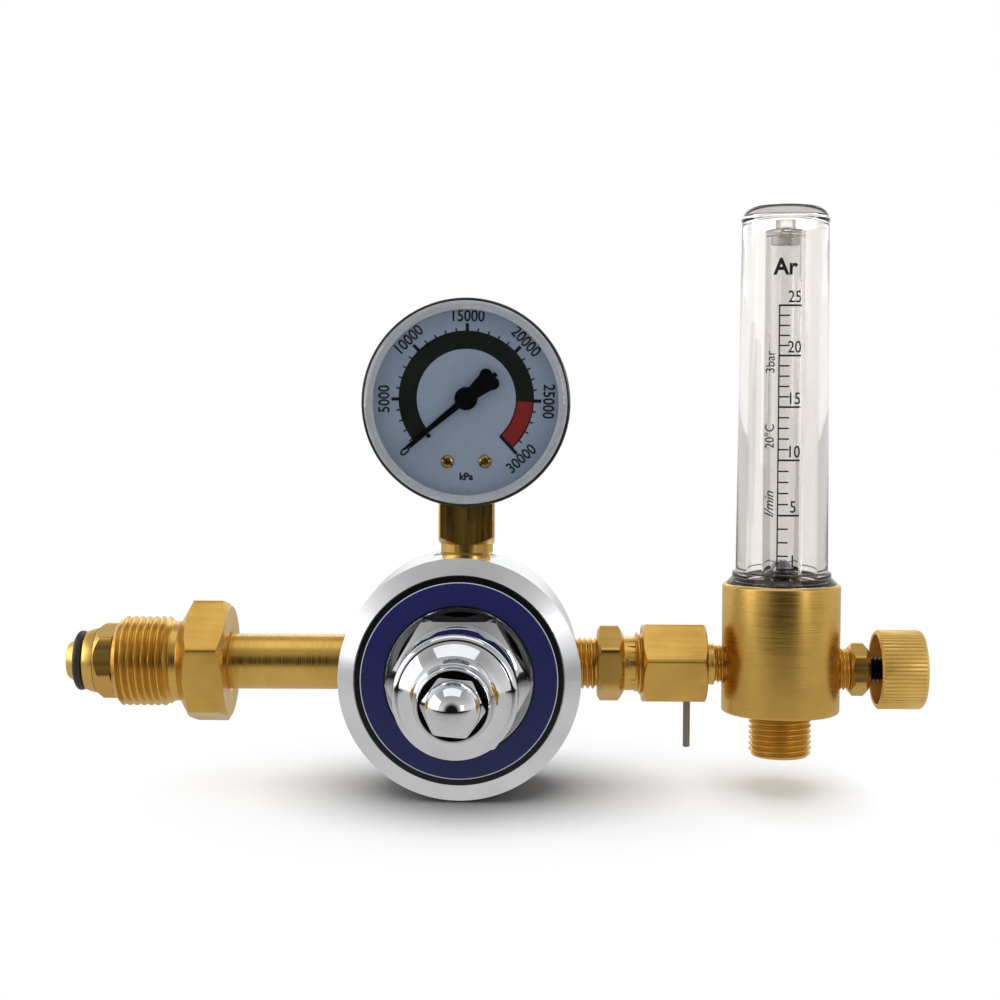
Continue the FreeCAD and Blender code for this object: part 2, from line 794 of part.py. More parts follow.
def gauge_socket():
    """Gauge stem: thread, neck and square, with the block inside that carries the movement."""
    neck_low = body_r - port_rise - gauge_spot_depth
    square_low = neck_low + stem_neck
    case_low = gauge_z - case_d / 2
    block_top = gauge_z - stem_block_drop
    thread_low = neck_low - gauge_hole_depth + seal_thickness + 2 * seat_gap
    half = stem_square / 2
    neck = turned(
        (0, thread_low), (port_thread_d / 2 - 1, thread_low), (port_thread_d / 2, thread_low + 1),
        (port_thread_d / 2, neck_low + 0.3), (stem_neck_d / 2 - 0.65, neck_low + 0.6),
        (stem_neck_d / 2, neck_low + 1.7), (stem_neck_d / 2, square_low + 0.1), (0, square_low + 0.1),
    )
    square = Part.makeBox(stem_square, stem_square, block_top - square_low, V(-half, -half, square_low))
    corner = math.hypot(half, half) - 0.3
    facet = turned((0, square_low), (half, square_low), (corner, square_low + (corner - half) * 0.7),
                   (corner, block_top), (0, block_top))
    cut_low = case_low + case_wall + 1
    front_cut = Part.makeBox(stem_square + 2, stem_square, block_top - cut_low + 1,
                             V(-half - 1, -stem_square - stem_front, cut_low))
    bore_turn = gauge_z - bourdon_radius
    riser = rod(stem_bore_d, thread_low - 1, case_low + 4)
    feed = rod(feed_bore_d, case_low, bore_turn, 0, -bourdon_place)
    stem = joined(neck, square.common(facet)).cut([front_cut, riser, feed])
    stem = placed(stem, UP, gauge_x)
    hole_d = movement_screw_d + 2 * thread_gap
    screw_holes = [on_pivot(rod(hole_d, plate_back - 4, plate_back + 1, 0, y))
                   for y in movement_screw_places()]
    slot = bourdon_band(bourdon_width / 2 + bore_gap, bourdon_depth + 2 * bore_gap, bourdon_start + 4,
                        bourdon_sweep / 2)
    return stem.cut([on_gauge(slot)] + screw_holes)


def bourdon_band(half_width, depth, start, sweep):
    """Solid flat-oval band along part of the pressure tube's curve."""
    inner = bourdon_radius - half_width
    outer = bourdon_radius + half_width
    low = bourdon_place - depth / 2
    high = bourdon_place + depth / 2
    oval = section(
        (inner, low + half_width), ((bourdon_radius, low), (outer, low + half_width)),
        (outer, high - half_width), ((bourdon_radius, high), (inner, high - half_width)),
    )
    return spun(oval.revolve(V(0, 0, 0), V(0, 0, 1), -sweep), start)


def bourdon_tube():
    """C-shaped flat tube that uncurls under pressure; hollow from the socket to its tip."""
    outer = bourdon_band(bourdon_width / 2, bourdon_depth, bourdon_start, bourdon_sweep)
    half = bourdon_width / 2 - bourdon_wall
    inner = bourdon_band(half, bourdon_depth - 2 * bourdon_wall, bourdon_start + 1, bourdon_sweep + 2)
    return on_gauge(outer.cut(inner))


def tip_angle():
    """Direction of the tube's end, in degrees."""
    return bourdon_start - bourdon_sweep - tip_sweep / 2


def tube_tip():
    """Plug soldered in the tube's end, with a lug that the link lies on."""
    half = bourdon_width / 2 + 0.3
    low = bourdon_place - bourdon_depth / 2 - 0.1
    high = bourdon_place + bourdon_depth / 2 + 0.1
    block = section((bourdon_radius - half, low), (bourdon_radius + half, low),
                    (bourdon_radius + half, high), (bourdon_radius - half, high))
    block = block.revolve(V(0, 0, 0), V(0, 0, 1), -tip_sweep)
    block = spun(block, bourdon_start - bourdon_sweep)
    angle = math.radians(tip_angle())
    lug_top = sector_place - link_thickness - 2 * seat_gap - bore_gap
    lug = rod(2 * half, high - 1, lug_top, bourdon_radius * math.cos(angle),
              bourdon_radius * math.sin(angle))
    return on_gauge(joined(block, lug))


def gauge_case():
    """Pressed steel case with an open front, a hole for the stem and one for the blow-out plug."""
    outer = case_d / 2
    inner = outer - case_wall
    bend = case_corner * (1 - math.sqrt(0.5))
    inner_bend = (case_corner - case_wall) * (1 - math.sqrt(0.5))
    floor = case_back + case_wall
    cup = turned(
        (0, case_back), (outer - case_corner, case_back),
        ((outer - bend, case_back + bend), (outer, case_back + case_corner)),
        (outer, case_front - 0.4), ((outer - 0.15, case_front - 0.1), (outer - case_wall / 2, case_front)),
        ((inner + 0.15, case_front - 0.1), (inner, case_front - 0.4)), (inner, case_back + case_corner),
        ((inner - inner_bend, floor + inner_bend), (inner - case_corner + case_wall, floor)), (0, floor),
    )
    cup = cup.cut(rod(plug_d, case_back - 1, floor + 1, 0, plug_rise))
    half = stem_square / 2 + bore_gap
    stem_hole = Part.makeBox(2 * half, 2 * half, 6, V(-half, -half, -outer - 2))
    return on_gauge(cup).cut(placed(stem_hole, UP, gauge_x, 0, gauge_z))


def blowout_plug():
    """Rubber plug in the back of the case that lets pressure out if the tube fails."""
    floor = case_back + case_wall
    plug_r = plug_d / 2 - slip_gap
    plug = turned(
        (0, case_back - 0.6), (plug_r + 0.5, case_back - 0.6), (plug_r + 0.8, case_back - 0.3),
        (plug_r + 0.8, case_back), (plug_r, case_back), (plug_r, floor), (plug_r + 0.5, floor + 0.05),
        (plug_r + 0.3, floor + 0.9), (0, floor + 0.9),
    )
    return on_gauge(placed(plug, UP, 0, plug_rise, 0))


def gauge_lens():
    """Clear moulded lens: a thick skirt inside the case and a slightly domed pane."""
    outer = lens_d / 2
    sight = outer - lens_skirt
    skirt_low = dial_place + dial_thickness + seat_gap
    pane_low = lens_front - lens_pane
    return on_gauge(turned(
        (sight, skirt_low), (outer, skirt_low), (outer, lens_edge - 0.7),
        ((outer - 0.25, lens_edge - 0.2), (outer - 0.9, lens_edge)),
        (crown(outer - 0.9, lens_edge, lens_front), (0, lens_front)), (0, pane_low),
        (crown(sight - 0.6, lens_edge - lens_pane, pane_low), (sight - 0.6, lens_edge - lens_pane)),
        (sight, lens_edge - lens_pane - 0.6),
    ))


def gauge_dial():
    """Dial plate on the case's centre, with its scale about the pointer's axis."""
    low = dial_place
    plate = rod(dial_d, low, low + dial_thickness)
    holes = [rod(dial_screw_d + 0.3, low - 1, low + 2, side * dial_screw_spread, dial_rise - dial_screw_drop)
             for side in (-1, 1)]
    holes.append(rod(arbor_d + 1.2, low - 1, low + 2, 0, dial_rise))
    return on_gauge(plate.cut(holes))


def dial_screws():
    """Two round-head screws that hold the dial to the movement's pillars."""
    low = dial_place + dial_thickness
    screw = joined(
        turned((0, low), (dial_screw_head_d / 2, low), (dial_screw_head_d / 2, low + 0.35),
               ((dial_screw_head_d / 2 - 0.35, low + 0.68), (0, low + dial_screw_head))),
        rod(dial_screw_d, plate_front - 2.4, low + 0.1),
    )
    slot = Part.makeBox(dial_screw_head_d + 1, 0.5, 1, V(-dial_screw_head_d / 2 - 0.5, -0.25, low + 0.45))
    screw = screw.cut(slot)
    return on_pivot(Part.makeCompound([
        placed(spun(screw, 35 * side), UP, side * dial_screw_spread, -dial_screw_drop, 0) for side in (-1, 1)
    ]))


def dial_spacers():
    """Two sleeves between the movement and the dial."""
    low = plate_front + plate_metal
    sleeve = ring(pillar_d, dial_screw_d + 0.2, low, dial_place)
    return on_pivot(Part.makeCompound([
        placed(sleeve, UP, side * dial_screw_spread, -dial_screw_drop, 0) for side in (-1, 1)
    ]))


def movement_posts():
    """Two pillars between the movement's plates."""
    low = plate_back + plate_metal
    pillar = rod(pillar_d, low, plate_front).cut(rod(dial_screw_d + 0.1, plate_front - 2.5, plate_front + 1))
    return on_pivot(Part.makeCompound([
        placed(pillar, UP, side * dial_screw_spread, -dial_screw_drop, 0) for side in (-1, 1)
    ]))


def sector_pivot():
    """Pivot of the toothed sector, seen from the pointer's axis."""
    reach = tooth_module * (pinion_teeth + sector_teeth) / 2
    angle = math.radians(sector_angle)
    return (-reach * math.cos(angle), -reach * math.sin(angle))


def movement_screw_places():
    """Heights of the two screws that hold the back plate, seen from the pointer's axis."""
    return (-dial_screw_drop, -dial_screw_drop - 3.4)


def movement_plate(low):
    """Bar-shaped plate that joins the two pillars, the pointer's axis and the sector's pivot."""
    high = low + plate_metal
    left = (-dial_screw_spread, -dial_screw_drop)
    right = (dial_screw_spread, -dial_screw_drop)
    pivot = sector_pivot()
    width = 2 * plate_rim
    return joined(
        capsule(left, right, width, low, high), capsule(right, (0, 0), width, low, high),
        capsule(pivot, (0, 0), width, low, high), capsule(pivot, left, width, low, high),
    )


def arbor_holes(low):
    """Holes in a movement plate for the pinion's and the sector's arbors."""
    pivot = sector_pivot()
    return [rod(arbor_d + 2 * slip_gap, low - 1, low + 3),
            rod(sector_arbor_d + 2 * slip_gap, low - 1, low + 3, pivot[0], pivot[1])]


def movement_back_plate():
    """Back plate on the socket, with the stud that holds the hairspring's outer end."""
    plate = movement_plate(plate_back)
    foot = capsule((0, -dial_screw_drop), (0, movement_screw_places()[1]), 5.4, plate_back,
                   plate_back + plate_metal)
    stud_x = hair_end + 0.65
    ear = capsule((2, 0), (stud_x, 0), 2.0, plate_back, plate_back + plate_metal)
    stud = rod(0.9, plate_back, hair_place + hair_height + 0.1, stud_x, 0)
    screws = [rod(movement_screw_d + 0.2, plate_back - 1, plate_back + 3, 0, y)
              for y in movement_screw_places()]
    return on_pivot(joined(plate, foot, ear, stud).cut(arbor_holes(plate_back) + screws))


def movement_front_plate():
    """Front plate over the gears."""
    holes = arbor_holes(plate_front)
    holes += [rod(dial_screw_d + 0.2, plate_front - 1, plate_front + 3, side * dial_screw_spread,
                  -dial_screw_drop) for side in (-1, 1)]
    return on_pivot(movement_plate(plate_front).cut(holes))


def movement_screws():
    """Two screws that hold the back plate to the socket."""
    low = plate_back + plate_metal
    screw = joined(rod(movement_screw_head_d, low, low + 0.7), rod(movement_screw_d, low - 3.5, low + 0.1))
    slot = Part.makeBox(movement_screw_head_d + 1, 0.4, 1,
                        V(-movement_screw_head_d / 2 - 0.5, -0.2, low + 0.4))
    screw = screw.cut(slot)
    return on_pivot(Part.makeCompound([placed(screw, UP, 0, y, 0) for y in movement_screw_places()]))


def involute_point(base, radius, lean):
    """A point of an involute flank that starts at the angle lean; below its base circle it is radial."""
    if radius <= base:
        return (radius, lean)
    roll = math.sqrt((radius / base) ** 2 - 1)
    return (radius, lean + roll - math.atan(roll))


def gear_outline(teeth, addendum, dedendum, numbers, first_angle):
    """Outline points of some of a gear's teeth, from root to root, as (radius, angle) pairs."""
    pitch_r = tooth_module * teeth / 2
    base = pitch_r * math.cos(math.radians(pressure_angle))
    root = pitch_r - dedendum
    tip = pitch_r + addendum
    half_tooth = (math.pi * tooth_module - backlash) / 4 / pitch_r
    roll = math.tan(math.radians(pressure_angle)) - math.radians(pressure_angle)
    steps = 3
    radii = [root] + [max(root, base) + (tip - max(root, base)) * i / steps for i in range(steps + 1)]
    outline = []
    for number in numbers:
        centre = math.radians(first_angle + 360.0 / teeth * number)
        flank = [involute_point(base, r, -half_tooth - roll) for r in radii]
        outline += [(r, centre + a) for r, a in flank]
        outline += [(r, centre - a) for r, a in reversed(flank)]
    return outline


def polar(points):
    """Turn (radius, angle) pairs into (x, y) pairs, leaving out repeats."""
    result = []
    for r, a in points:
        spot = (r * math.cos(a), r * math.sin(a))
        if not result or math.dist(result[-1], spot) > 1e-4:
            result.append(spot)
    return result


def sector_gear():
    """Toothed sector with its arbor, and the tail that the link pulls."""
    pivot = sector_pivot()
    pitch_r = tooth_module * sector_teeth / 2
    root = pitch_r - tooth_module * (pinion_addendum + tooth_clearance)
    numbers = range(sector_first_tooth - sector_cut_teeth + 1, sector_first_tooth + 1)
    teeth = gear_outline(sector_teeth, tooth_module * sector_addendum,
                         tooth_module * (pinion_addendum + tooth_clearance), numbers, sector_angle)
    low = sector_place
    high = low + sector_thickness
    inner = root - 1.6
    first = teeth[0][1] - 0.02
    last = teeth[-1][1] + 0.02
    rim = [(root, last), (inner, last)]
    arc_steps = 12
    rim += [(inner, last + (first - last) * i / arc_steps) for i in range(1, arc_steps + 1)]
    rim += [(root, first)]
    blade = polygon_prism(polar(teeth + rim), low, high)
    arms = [capsule((0, 0), (inner * math.cos(a), inner * math.sin(a)), 1.3, low, high)
            for a in (first + 0.07, last - 0.07)]
    hub = rod(sector_hub_d, low, high)
    tail_a = math.radians(tail_angle)
    tail_end = (tail_length * math.cos(tail_a), tail_length * math.sin(tail_a))
    tail = capsule((0, 0), tail_end, 1.5, low, high)
    pin = rod(link_pin_d, low - link_thickness - 2 * seat_gap, low + 0.1, tail_end[0], tail_end[1])
    reach = plate_front + plate_metal
    arbor = rod(sector_arbor_d, plate_back + slip_gap, reach)
    boss_low = rod(sector_hub_d - 1.2, plate_back + plate_metal + slip_gap, low + 0.1)
    boss_high = rod(sector_hub_d - 1.2, high - 0.1, plate_front - slip_gap)
    gear = joined(hub, blade, tail, arbor, boss_low, boss_high, pin, *arms)
    return on_pivot(placed(gear, UP, pivot[0], pivot[1], 0))


def pinion_arbor():
    """Pinion and the arbor that carries pointer and hairspring."""
    gap_angle = sector_angle + 180.0
    numbers = range(pinion_teeth)
    teeth = gear_outline(pinion_teeth, tooth_module * pinion_addendum,
                         tooth_module * (sector_addendum + tooth_clearance), numbers,
                         gap_angle + 180.0 / pinion_teeth)
    pinion = polygon_prism(polar(teeth), pinion_place, pinion_place + pinion_length)
    top = pointer_place + pointer_metal + 0.15
    arbor = rod(arbor_d, plate_back + slip_gap, top)
    collet = rod(2 * hair_start - 0.2, hair_place - 0.05, hair_place + hair_height + 0.1)
    washer = rod(arbor_d + 0.7, plate_back + plate_metal + slip_gap, pinion_place)
    return on_pivot(joined(pinion, arbor, collet, washer))


def tip_link():
    """Link from the sector's tail to the lug on the pressure tube's tip."""
    pivot = sector_pivot()
    tail_a = math.radians(tail_angle)
    start = (pivot[0] + tail_length * math.cos(tail_a), pivot[1] + tail_length * math.sin(tail_a))
    angle = math.radians(tip_angle())
    end = (bourdon_radius * math.cos(angle), bourdon_radius * math.sin(angle) - dial_rise)
    high = sector_place - seat_gap
    low = high - link_thickness
    bar = capsule(start, end, link_width, low, high)
    eyes = [rod(link_width + 0.9, low, high, x, y) for x, y in (start, end)]
    holes = [rod(link_pin_d + 2 * slip_gap, low - 1, high + 1, x, y) for x, y in (start, end)]
    return on_pivot(joined(bar, *eyes).cut(holes))


def hairspring():
    """Flat spiral that takes the play out of the teeth."""
    growth = (hair_end - hair_start) / (2 * math.pi * hair_turns)
    steps = 72

    def spiral(offset):
        points = []
        for i in range(steps + 1):
            angle = 2 * math.pi * hair_turns * i / steps
            radius = hair_start + growth * angle + offset
            angle -= 2 * math.pi * hair_turns
            points.append(V(radius * math.cos(angle), radius * math.sin(angle), hair_place))
        curve = Part.BSplineCurve()
        curve.interpolate(points)
        return points, curve.toShape()

    inner_points, inner_edge = spiral(-hair_metal / 2)
    outer_points, outer_edge = spiral(hair_metal / 2)
    first = Part.LineSegment(inner_points[0], outer_points[0]).toShape()
    last = Part.LineSegment(outer_points[-1], inner_points[-1]).toShape()
    face = Part.Face(Part.Wire(Part.sortEdges([first, outer_edge, last, inner_edge])[0]))
    return on_pivot(face.extrude(V(0, 0, hair_height)))


def pointer():
    """Pressed pointer: a tapered needle, a hub and a scalloped fan behind it."""
    low = pointer_place
    high = low + pointer_metal
    hub_r = pointer_hub_d / 2
    fan_r = 7.7
    lobe_d = 3.2
    lobe_angle = math.radians(10.2)
    lobe = (fan_r * math.cos(lobe_angle), fan_r * math.sin(lobe_angle))
    needle = polygon_prism([(0, -0.95), (13.5, -0.6), (pointer_length, -0.3), (pointer_length, 0.3),
                            (13.5, 0.6), (0, 0.95)], low, high)
    neck = polygon_prism([(-1.5, -1.6), (-lobe[0], -lobe[1] - 1.3), (-lobe[0] - 1.2, 0),
                          (-lobe[0], lobe[1] + 1.3), (-1.5, 1.6)], low, high)
    lobes = [rod(lobe_d, low, high, -lobe[0], side * lobe[1]) for side in (-1, 1)]
    tab = polygon_prism([(-8.6, -0.6), (-9.8, -0.6), (-9.8, 0.6), (-8.6, 0.6)], low, high)
    hub = turned((0, low - 0.4), (1.4, low - 0.4), (1.4, low), (hub_r, low), (hub_r, high),
                 (hub_r - 0.3, high + 0.25), (0, high + 0.35))
    shape = joined(needle, neck, tab, hub, *lobes)
    shape = shape.cut(rod(arbor_d + 2 * thread_gap, low - 2, high + 0.2))
    return on_pivot(spun(shape, pointer_angle))


def stop_pin():
    """Pin in the dial on which the pointer rests at zero."""
    angle = math.radians(stop_angle)
    low = dial_place + dial_thickness
    return on_pivot(rod(stop_pin_d, low, pointer_place + pointer_metal + 0.1, stop_radius * math.cos(angle),
                        stop_radius * math.sin(angle)))


def outlet_nipple():
    """Adapter from the regulator's outlet port to the coupling."""
    start = body_x + port_hole_end + seat_gap
    end = coupling_start + coupling_thread_grip
    thread = chamfered_rod(port_thread_d, start, outlet_hex_start + 0.1, 0.8, 0)
    grip = hex_blank(outlet_hex, outlet_hex_start, outlet_neck_start, outlet_turn, 1.0, 0.88, slope=32.0)
    neck = rod(outlet_neck_d, outlet_neck_start - 0.5, coupling_thread_start + 0.1)
    nose = chamfered_rod(coupling_thread_d, coupling_thread_start, end, 0.5, 0.6)
    shape = joined(thread, grip, neck, nose)
    return on_ports(shape.cut(rod(outlet_bore_d, start - 1, end + 1)))


def coupling_nut():
    """Long coupling nut over the nipple's thread and the tail's flange."""
    cavity = coupling_start + coupling_thread_grip + seal_thickness + tail_flange_length + 2 * seat_gap
    blank = hex_blank(coupling_hex, coupling_start, coupling_end, coupling_turn)
    thread_r = coupling_thread_d / 2 + thread_gap
    bore = turned(
        (0, coupling_start - 1), (thread_r + 0.6, coupling_start - 1), (thread_r + 0.6, coupling_start),
        (thread_r, coupling_start + 0.6), (thread_r, cavity), (0, cavity),
    )
    back = rod(tail_collar_d + 2 * bore_gap, cavity - 1, coupling_end + 1)
    hole_low = coupling_hex / 2 - pin_hole_depth
    hole = rod(steel_pin_d + 2 * seat_gap, hole_low, coupling_hex)
    return on_ports(blank.cut([bore, back])).cut(across_coupling(hole))


def across_coupling(shape):
    """Set a piece across the coupling at the pin's place, facing down."""
    return placed(shape, DOWN, coupling_end - pin_place, 0, 0)


def coupling_washer():
    """Sealing washer between nipple and tail."""
    start = coupling_start + coupling_thread_grip + seat_gap
    return on_ports(ring(tail_flange_d, outlet_bore_d + 0.6, start, start + seal_thickness))


def coupling_tail():
    """Flanged tail that the coupling nut draws against the nipple, screwed into the flow body."""
    flange_low = coupling_start + coupling_thread_grip + seal_thickness + 2 * seat_gap
    flange_high = flange_low + tail_flange_length
    end = tail_thread_start + tail_thread_show + tail_thread_grip
    flange = chamfered_rod(tail_flange_d, flange_low, flange_high, 0.3, 0)
    collar = chamfered_rod(tail_collar_d, flange_high - 0.1, tail_thread_start, 0, 0.4)
    thread = chamfered_rod(tail_thread_d, tail_thread_start - 0.5, end, 0, 0.7)
    return on_ports(joined(flange, collar, thread).cut(rod(outlet_bore_d, flange_low - 1, end + 1)))


def steel_pin():
    """Locking pin that hangs from the coupling nut's lower flat."""
    low = coupling_hex / 2 - pin_hole_depth + seat_gap
    return across_coupling(chamfered_rod(steel_pin_d, low, coupling_hex / 2 + steel_pin_show, 0.2, 0.2))


def flow_body():
    """Bored brass block that carries the tube, the inlet tail, the valve and the hose thread."""
    block = chamfered_rod(flow_d, -flow_bottom, flow_top, flow_edge, flow_edge)
    thread_low = -flow_bottom - gas_thread_length
    nose = chamfered_rod(gas_thread_d, thread_low, 0.5 - flow_bottom, 0.9, 0)
    body = joined(block, nose)
    socket_floor = flow_top - tube_socket
    well = joined(
        rod(cover_thread_d + 2 * thread_gap, well_floor, flow_top + 1),
        rod(tube_od + 2 * bore_gap, socket_floor, well_floor + 1),
        rod(riser_d, 0, socket_floor + 1),
    )
    tail_floor = flow_d / 2 - tail_thread_grip
    inlet = joined(
        rod(tail_thread_d + 2 * thread_gap, -flow_d / 2 - 1, -tail_floor),
        rod(riser_d + 0.6, -tail_floor - 1, riser_d / 2),
    )
    seat_start = seat_place - 4.0
    packing = seat_place + valve_chamber
    valve_way = joined(
        rod(seat_bore_d, seat_start, seat_place + 1),
        rod(gland_thread_d - 2.4, seat_place, packing + 1),
        rod(gland_thread_d + 2 * thread_gap, packing, flow_d / 2 + 1),
    )
    bore_top = thread_low + gas_bore_depth
    gas_way = joined(
        rod(gas_bore_d, thread_low - 1, bore_top),
        turned((0, thread_low - 1), (gas_cone_d / 2 + 1, thread_low - 1), (gas_cone_d / 2, thread_low),
               (gas_bore_d / 2, thread_low + (gas_cone_d - gas_bore_d) / 2), (0, thread_low + 3)),
        rod(seat_bore_d - 0.2, bore_top - 1, -valve_drop, seat_start + seat_bore_d / 2),
    )
    down_x = seat_place + valve_chamber / 2
    down_way = rod(2.2, -valve_drop, well_floor + 1, down_x)
    valve_way = placed(valve_way, RIGHT, 0, 0, -valve_drop)
    return on_flow(body.cut([well, gas_way, down_way, placed(inlet, RIGHT), valve_way]))


def flow_cover():
    """Clear moulded cover: threaded foot, conical flange, collar, drafted barrel and domed top."""
    foot_top = flow_top + cover_foot
    collar_top = foot_top + cover_collar
    ring_z = cover_top - cover_dome
    draft_top = ring_z - 0.8
    low_r = cover_d / 2
    top_r = cover_top_d / 2
    bore_r = cover_bore_d / 2
    bore_top_r = top_r - cover_wall
    ceiling = tube_top + stop_cap + 3.0
    blank = turned(
        (0, cover_bottom), (cover_thread_d / 2 - 0.5, cover_bottom),
        (cover_thread_d / 2, cover_bottom + 0.5), (cover_thread_d / 2, flow_top),
        (cover_foot_d / 2, flow_top), (cover_foot_d / 2, flow_top + 0.3),
        (cover_collar_d / 2, foot_top), (cover_collar_d / 2, collar_top - 0.3),
        (cover_collar_d / 2 - 0.3, collar_top), (low_r, collar_top), (top_r, draft_top),
        (top_r + cover_ring, ring_z), (top_r - 0.1, ring_z + 0.5),
        ((top_r - 1.3, cover_top - 1.3), (top_r - 3.6, cover_top - 0.45)),
        (crown(top_r - 3.6, cover_top - 0.45, cover_top), (0, cover_top)),
    )
    bore = turned((0, cover_bottom - 1), (bore_r, cover_bottom - 1), (bore_r, cover_bottom),
                  (bore_top_r, ceiling - 1), (bore_top_r - 1, ceiling), (0, ceiling))
    return on_flow(blank.cut(bore))


def cover_seal():
    """Rubber ring under the cover's foot."""
    return on_flow(ring(cover_thread_d - 0.4, cover_bore_d + 0.6, well_floor + seat_gap,
                        cover_bottom - seat_gap))


def tube_base_seal():
    """Rubber washer that the metering tube stands on."""
    low = flow_top - tube_socket
    return on_flow(ring(tube_od - 0.1, riser_d + 0.4, low + seat_gap, low + tube_seal - seat_gap))


def metering_tube():
    """Clear tube with a tapered bore above a shelf for the ball."""
    low_r = taper_low_d / 2
    high_r = taper_high_d / 2
    return on_flow(turned(
        (riser_d / 2 + 0.2, tube_bottom), (tube_od / 2 - 0.3, tube_bottom), (tube_od / 2, tube_bottom + 0.3),
        (tube_od / 2, tube_top - 0.3), (tube_od / 2 - 0.3, tube_top), (high_r, tube_top),
        (low_r, ball_shelf), (riser_d / 2 + 0.5, ball_shelf), (riser_d / 2 + 0.2, ball_shelf - 1.5),
    ))


def float_ball():
    """Ball that the gas lifts in the tapered bore."""
    shelf_r = riser_d / 2 + 0.5
    rise = math.sqrt((ball_d / 2) ** 2 - shelf_r ** 2)
    return on_flow(placed(Part.makeSphere(ball_d / 2), UP, 0, 0, ball_shelf + rise + seat_gap))


def tube_stop():
    """Plug in the top of the metering tube that stops the ball and lets the gas out."""
    low = tube_top - stop_depth
    cap_top = tube_top + stop_cap
    ceiling = cap_top + 3.0
    plug_r = taper_high_d / 2 - 0.1
    plug = turned((0, low), (plug_r - 0.4, low), (plug_r, low + 0.4), (plug_r, tube_top + seat_gap),
                  (tube_od / 2, tube_top + seat_gap), (tube_od / 2, cap_top), (0, cap_top))
    post = rod(5.0, cap_top - 0.1, ceiling - seat_gap)
    vent = rod(2.4, low - 1, cap_top + 0.6)
    slot = Part.makeBox(tube_od + 2, 2.0, 1.2, V(-tube_od / 2 - 1, -1.0, cap_top - 0.6))
    return on_flow(joined(plug, post).cut([vent, slot, spun(slot, 90)]))


def valve_gland():
    """Hexagon gland that the spindle turns in."""
    start = gland_start + seat_gap
    thread = chamfered_rod(gland_thread_d, start, gland_hex_start + 0.3, 0.5, 0)
    grip = hex_blank(gland_hex, gland_hex_start, gland_hex_end, gland_turn, 0.93, 0.87, slope=40.0)
    bore = rod(spindle_thread_d + 2 * slip_gap, start - 1, gland_hex_end + 1)
    return on_valve(joined(thread, grip).cut(bore))


def gland_washer():
    """Backing washer between gland and spindle seal."""
    high = gland_start
    return on_valve(ring(gland_thread_d - 0.2, spindle_shank_d + 0.3, high - gland_packing, high))


def spindle_seal():
    """Rubber ring round the spindle's plain shank."""
    low = packing_start + seat_gap
    high = gland_start - gland_packing - seat_gap
    return on_valve(ring(gland_thread_d - 0.1, spindle_shank_d + 2 * slip_gap, low, high))


def needle_spindle():
    """Threaded spindle with the needle that closes the flow."""
    tip = valve_seat_x - 0.5
    base = valve_seat_x + needle_cone - 0.5
    thread_low = gland_start + 0.6
    end = knob_start + knob_length - 2.6
    needle_r = seat_bore_d / 2 + 0.25
    thread_r = spindle_thread_d / 2
    return on_valve(turned(
        (0, tip), (0.35, tip), (needle_r, base), (needle_r, base + 0.1),
        (spindle_shank_d / 2 - 0.2, base + 0.3), (spindle_shank_d / 2, base + 0.5),
        (spindle_shank_d / 2, thread_low), (thread_r, thread_low + 0.5),
        (thread_r, end - 0.5), (thread_r - 0.5, end), (0, end),
    ))


def control_knob():
    """Knurled cup that hides the end of the gland."""
    outer = knob_d / 2
    end = knob_start + knob_length
    groove = outer - knurl_depth
    points = []
    for i in range(knob_ridges):
        for share, radius in ((0.0, groove), (0.3, outer), (0.7, outer)):
            angle = 2 * math.pi * (i + share) / knob_ridges
            points.append((radius * math.cos(angle), radius * math.sin(angle)))
    knurl = polygon_prism(points, knob_start, end)
    envelope = turned(
        (0, knob_start), (outer - knob_rim_chamfer, knob_start), (outer, knob_start + knob_rim_chamfer),
        (outer, end - knob_end_chamfer), (outer - 0.8 * knob_end_chamfer, end), (0, end),
    )
    floor = knob_start + knob_mouth_depth
    mouth_r = knob_mouth_d / 2
    mouth = turned((0, knob_start - 1), (mouth_r, knob_start - 1), (mouth_r, floor - 1),
                   (mouth_r - 1, floor), (0, floor))
    hole = rod(spindle_thread_d + 2 * slip_gap, floor - 1, end - 2.5)
    return on_valve(knurl.common(envelope).cut([mouth, hole]))


PIECES = [
    inlet_tube, inlet_nut, nose_nipple, nose_o_ring, inlet_filter,
    regulator_body, label_ring, bonnet, spring_button, adjusting_screw, acorn_nut, slip_ring,
    diaphragm, diaphragm_plate, diaphragm_washer, main_spring,
    valve_nozzle, valve_poppet, seat_insert, valve_pin, poppet_spring,
    gauge_seal, gauge_socket, bourdon_tube, tube_tip, gauge_case, blowout_plug, gauge_lens,
    gauge_dial, dial_screws, dial_spacers, movement_posts, movement_back_plate,
    movement_front_plate, movement_screws, sector_gear, pinion_arbor, tip_link, hairspring,
    pointer, stop_pin,
    outlet_nipple, coupling_nut, coupling_washer, coupling_tail, steel_pin,
    flow_body, flow_cover, cover_seal, tube_base_seal, metering_tube, float_ball, tube_stop,
    valve_gland, gland_washer, spindle_seal, needle_spindle, control_knob,
]

os.makedirs("parts", exist_ok=True)
for make in PIECES:
    piece = make()
    if len(piece.Solids) == 1:
        piece = piece.Solids[0]
    state = "ok" if piece.isValid() and piece.Solids else "NOT VALID"
    print(f"{make.__name__:22s} {len(piece.Solids)} solid {piece.Volume:10.2f} mm3 {state}")
    piece.exportStep(f"parts/{make.__name__}.step")
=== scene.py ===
import json
import math

import bmesh
import bpy
from bpy.props import FloatProperty, IntProperty, PointerProperty, StringProperty
from mathutils import Matrix, Quaternion, Vector


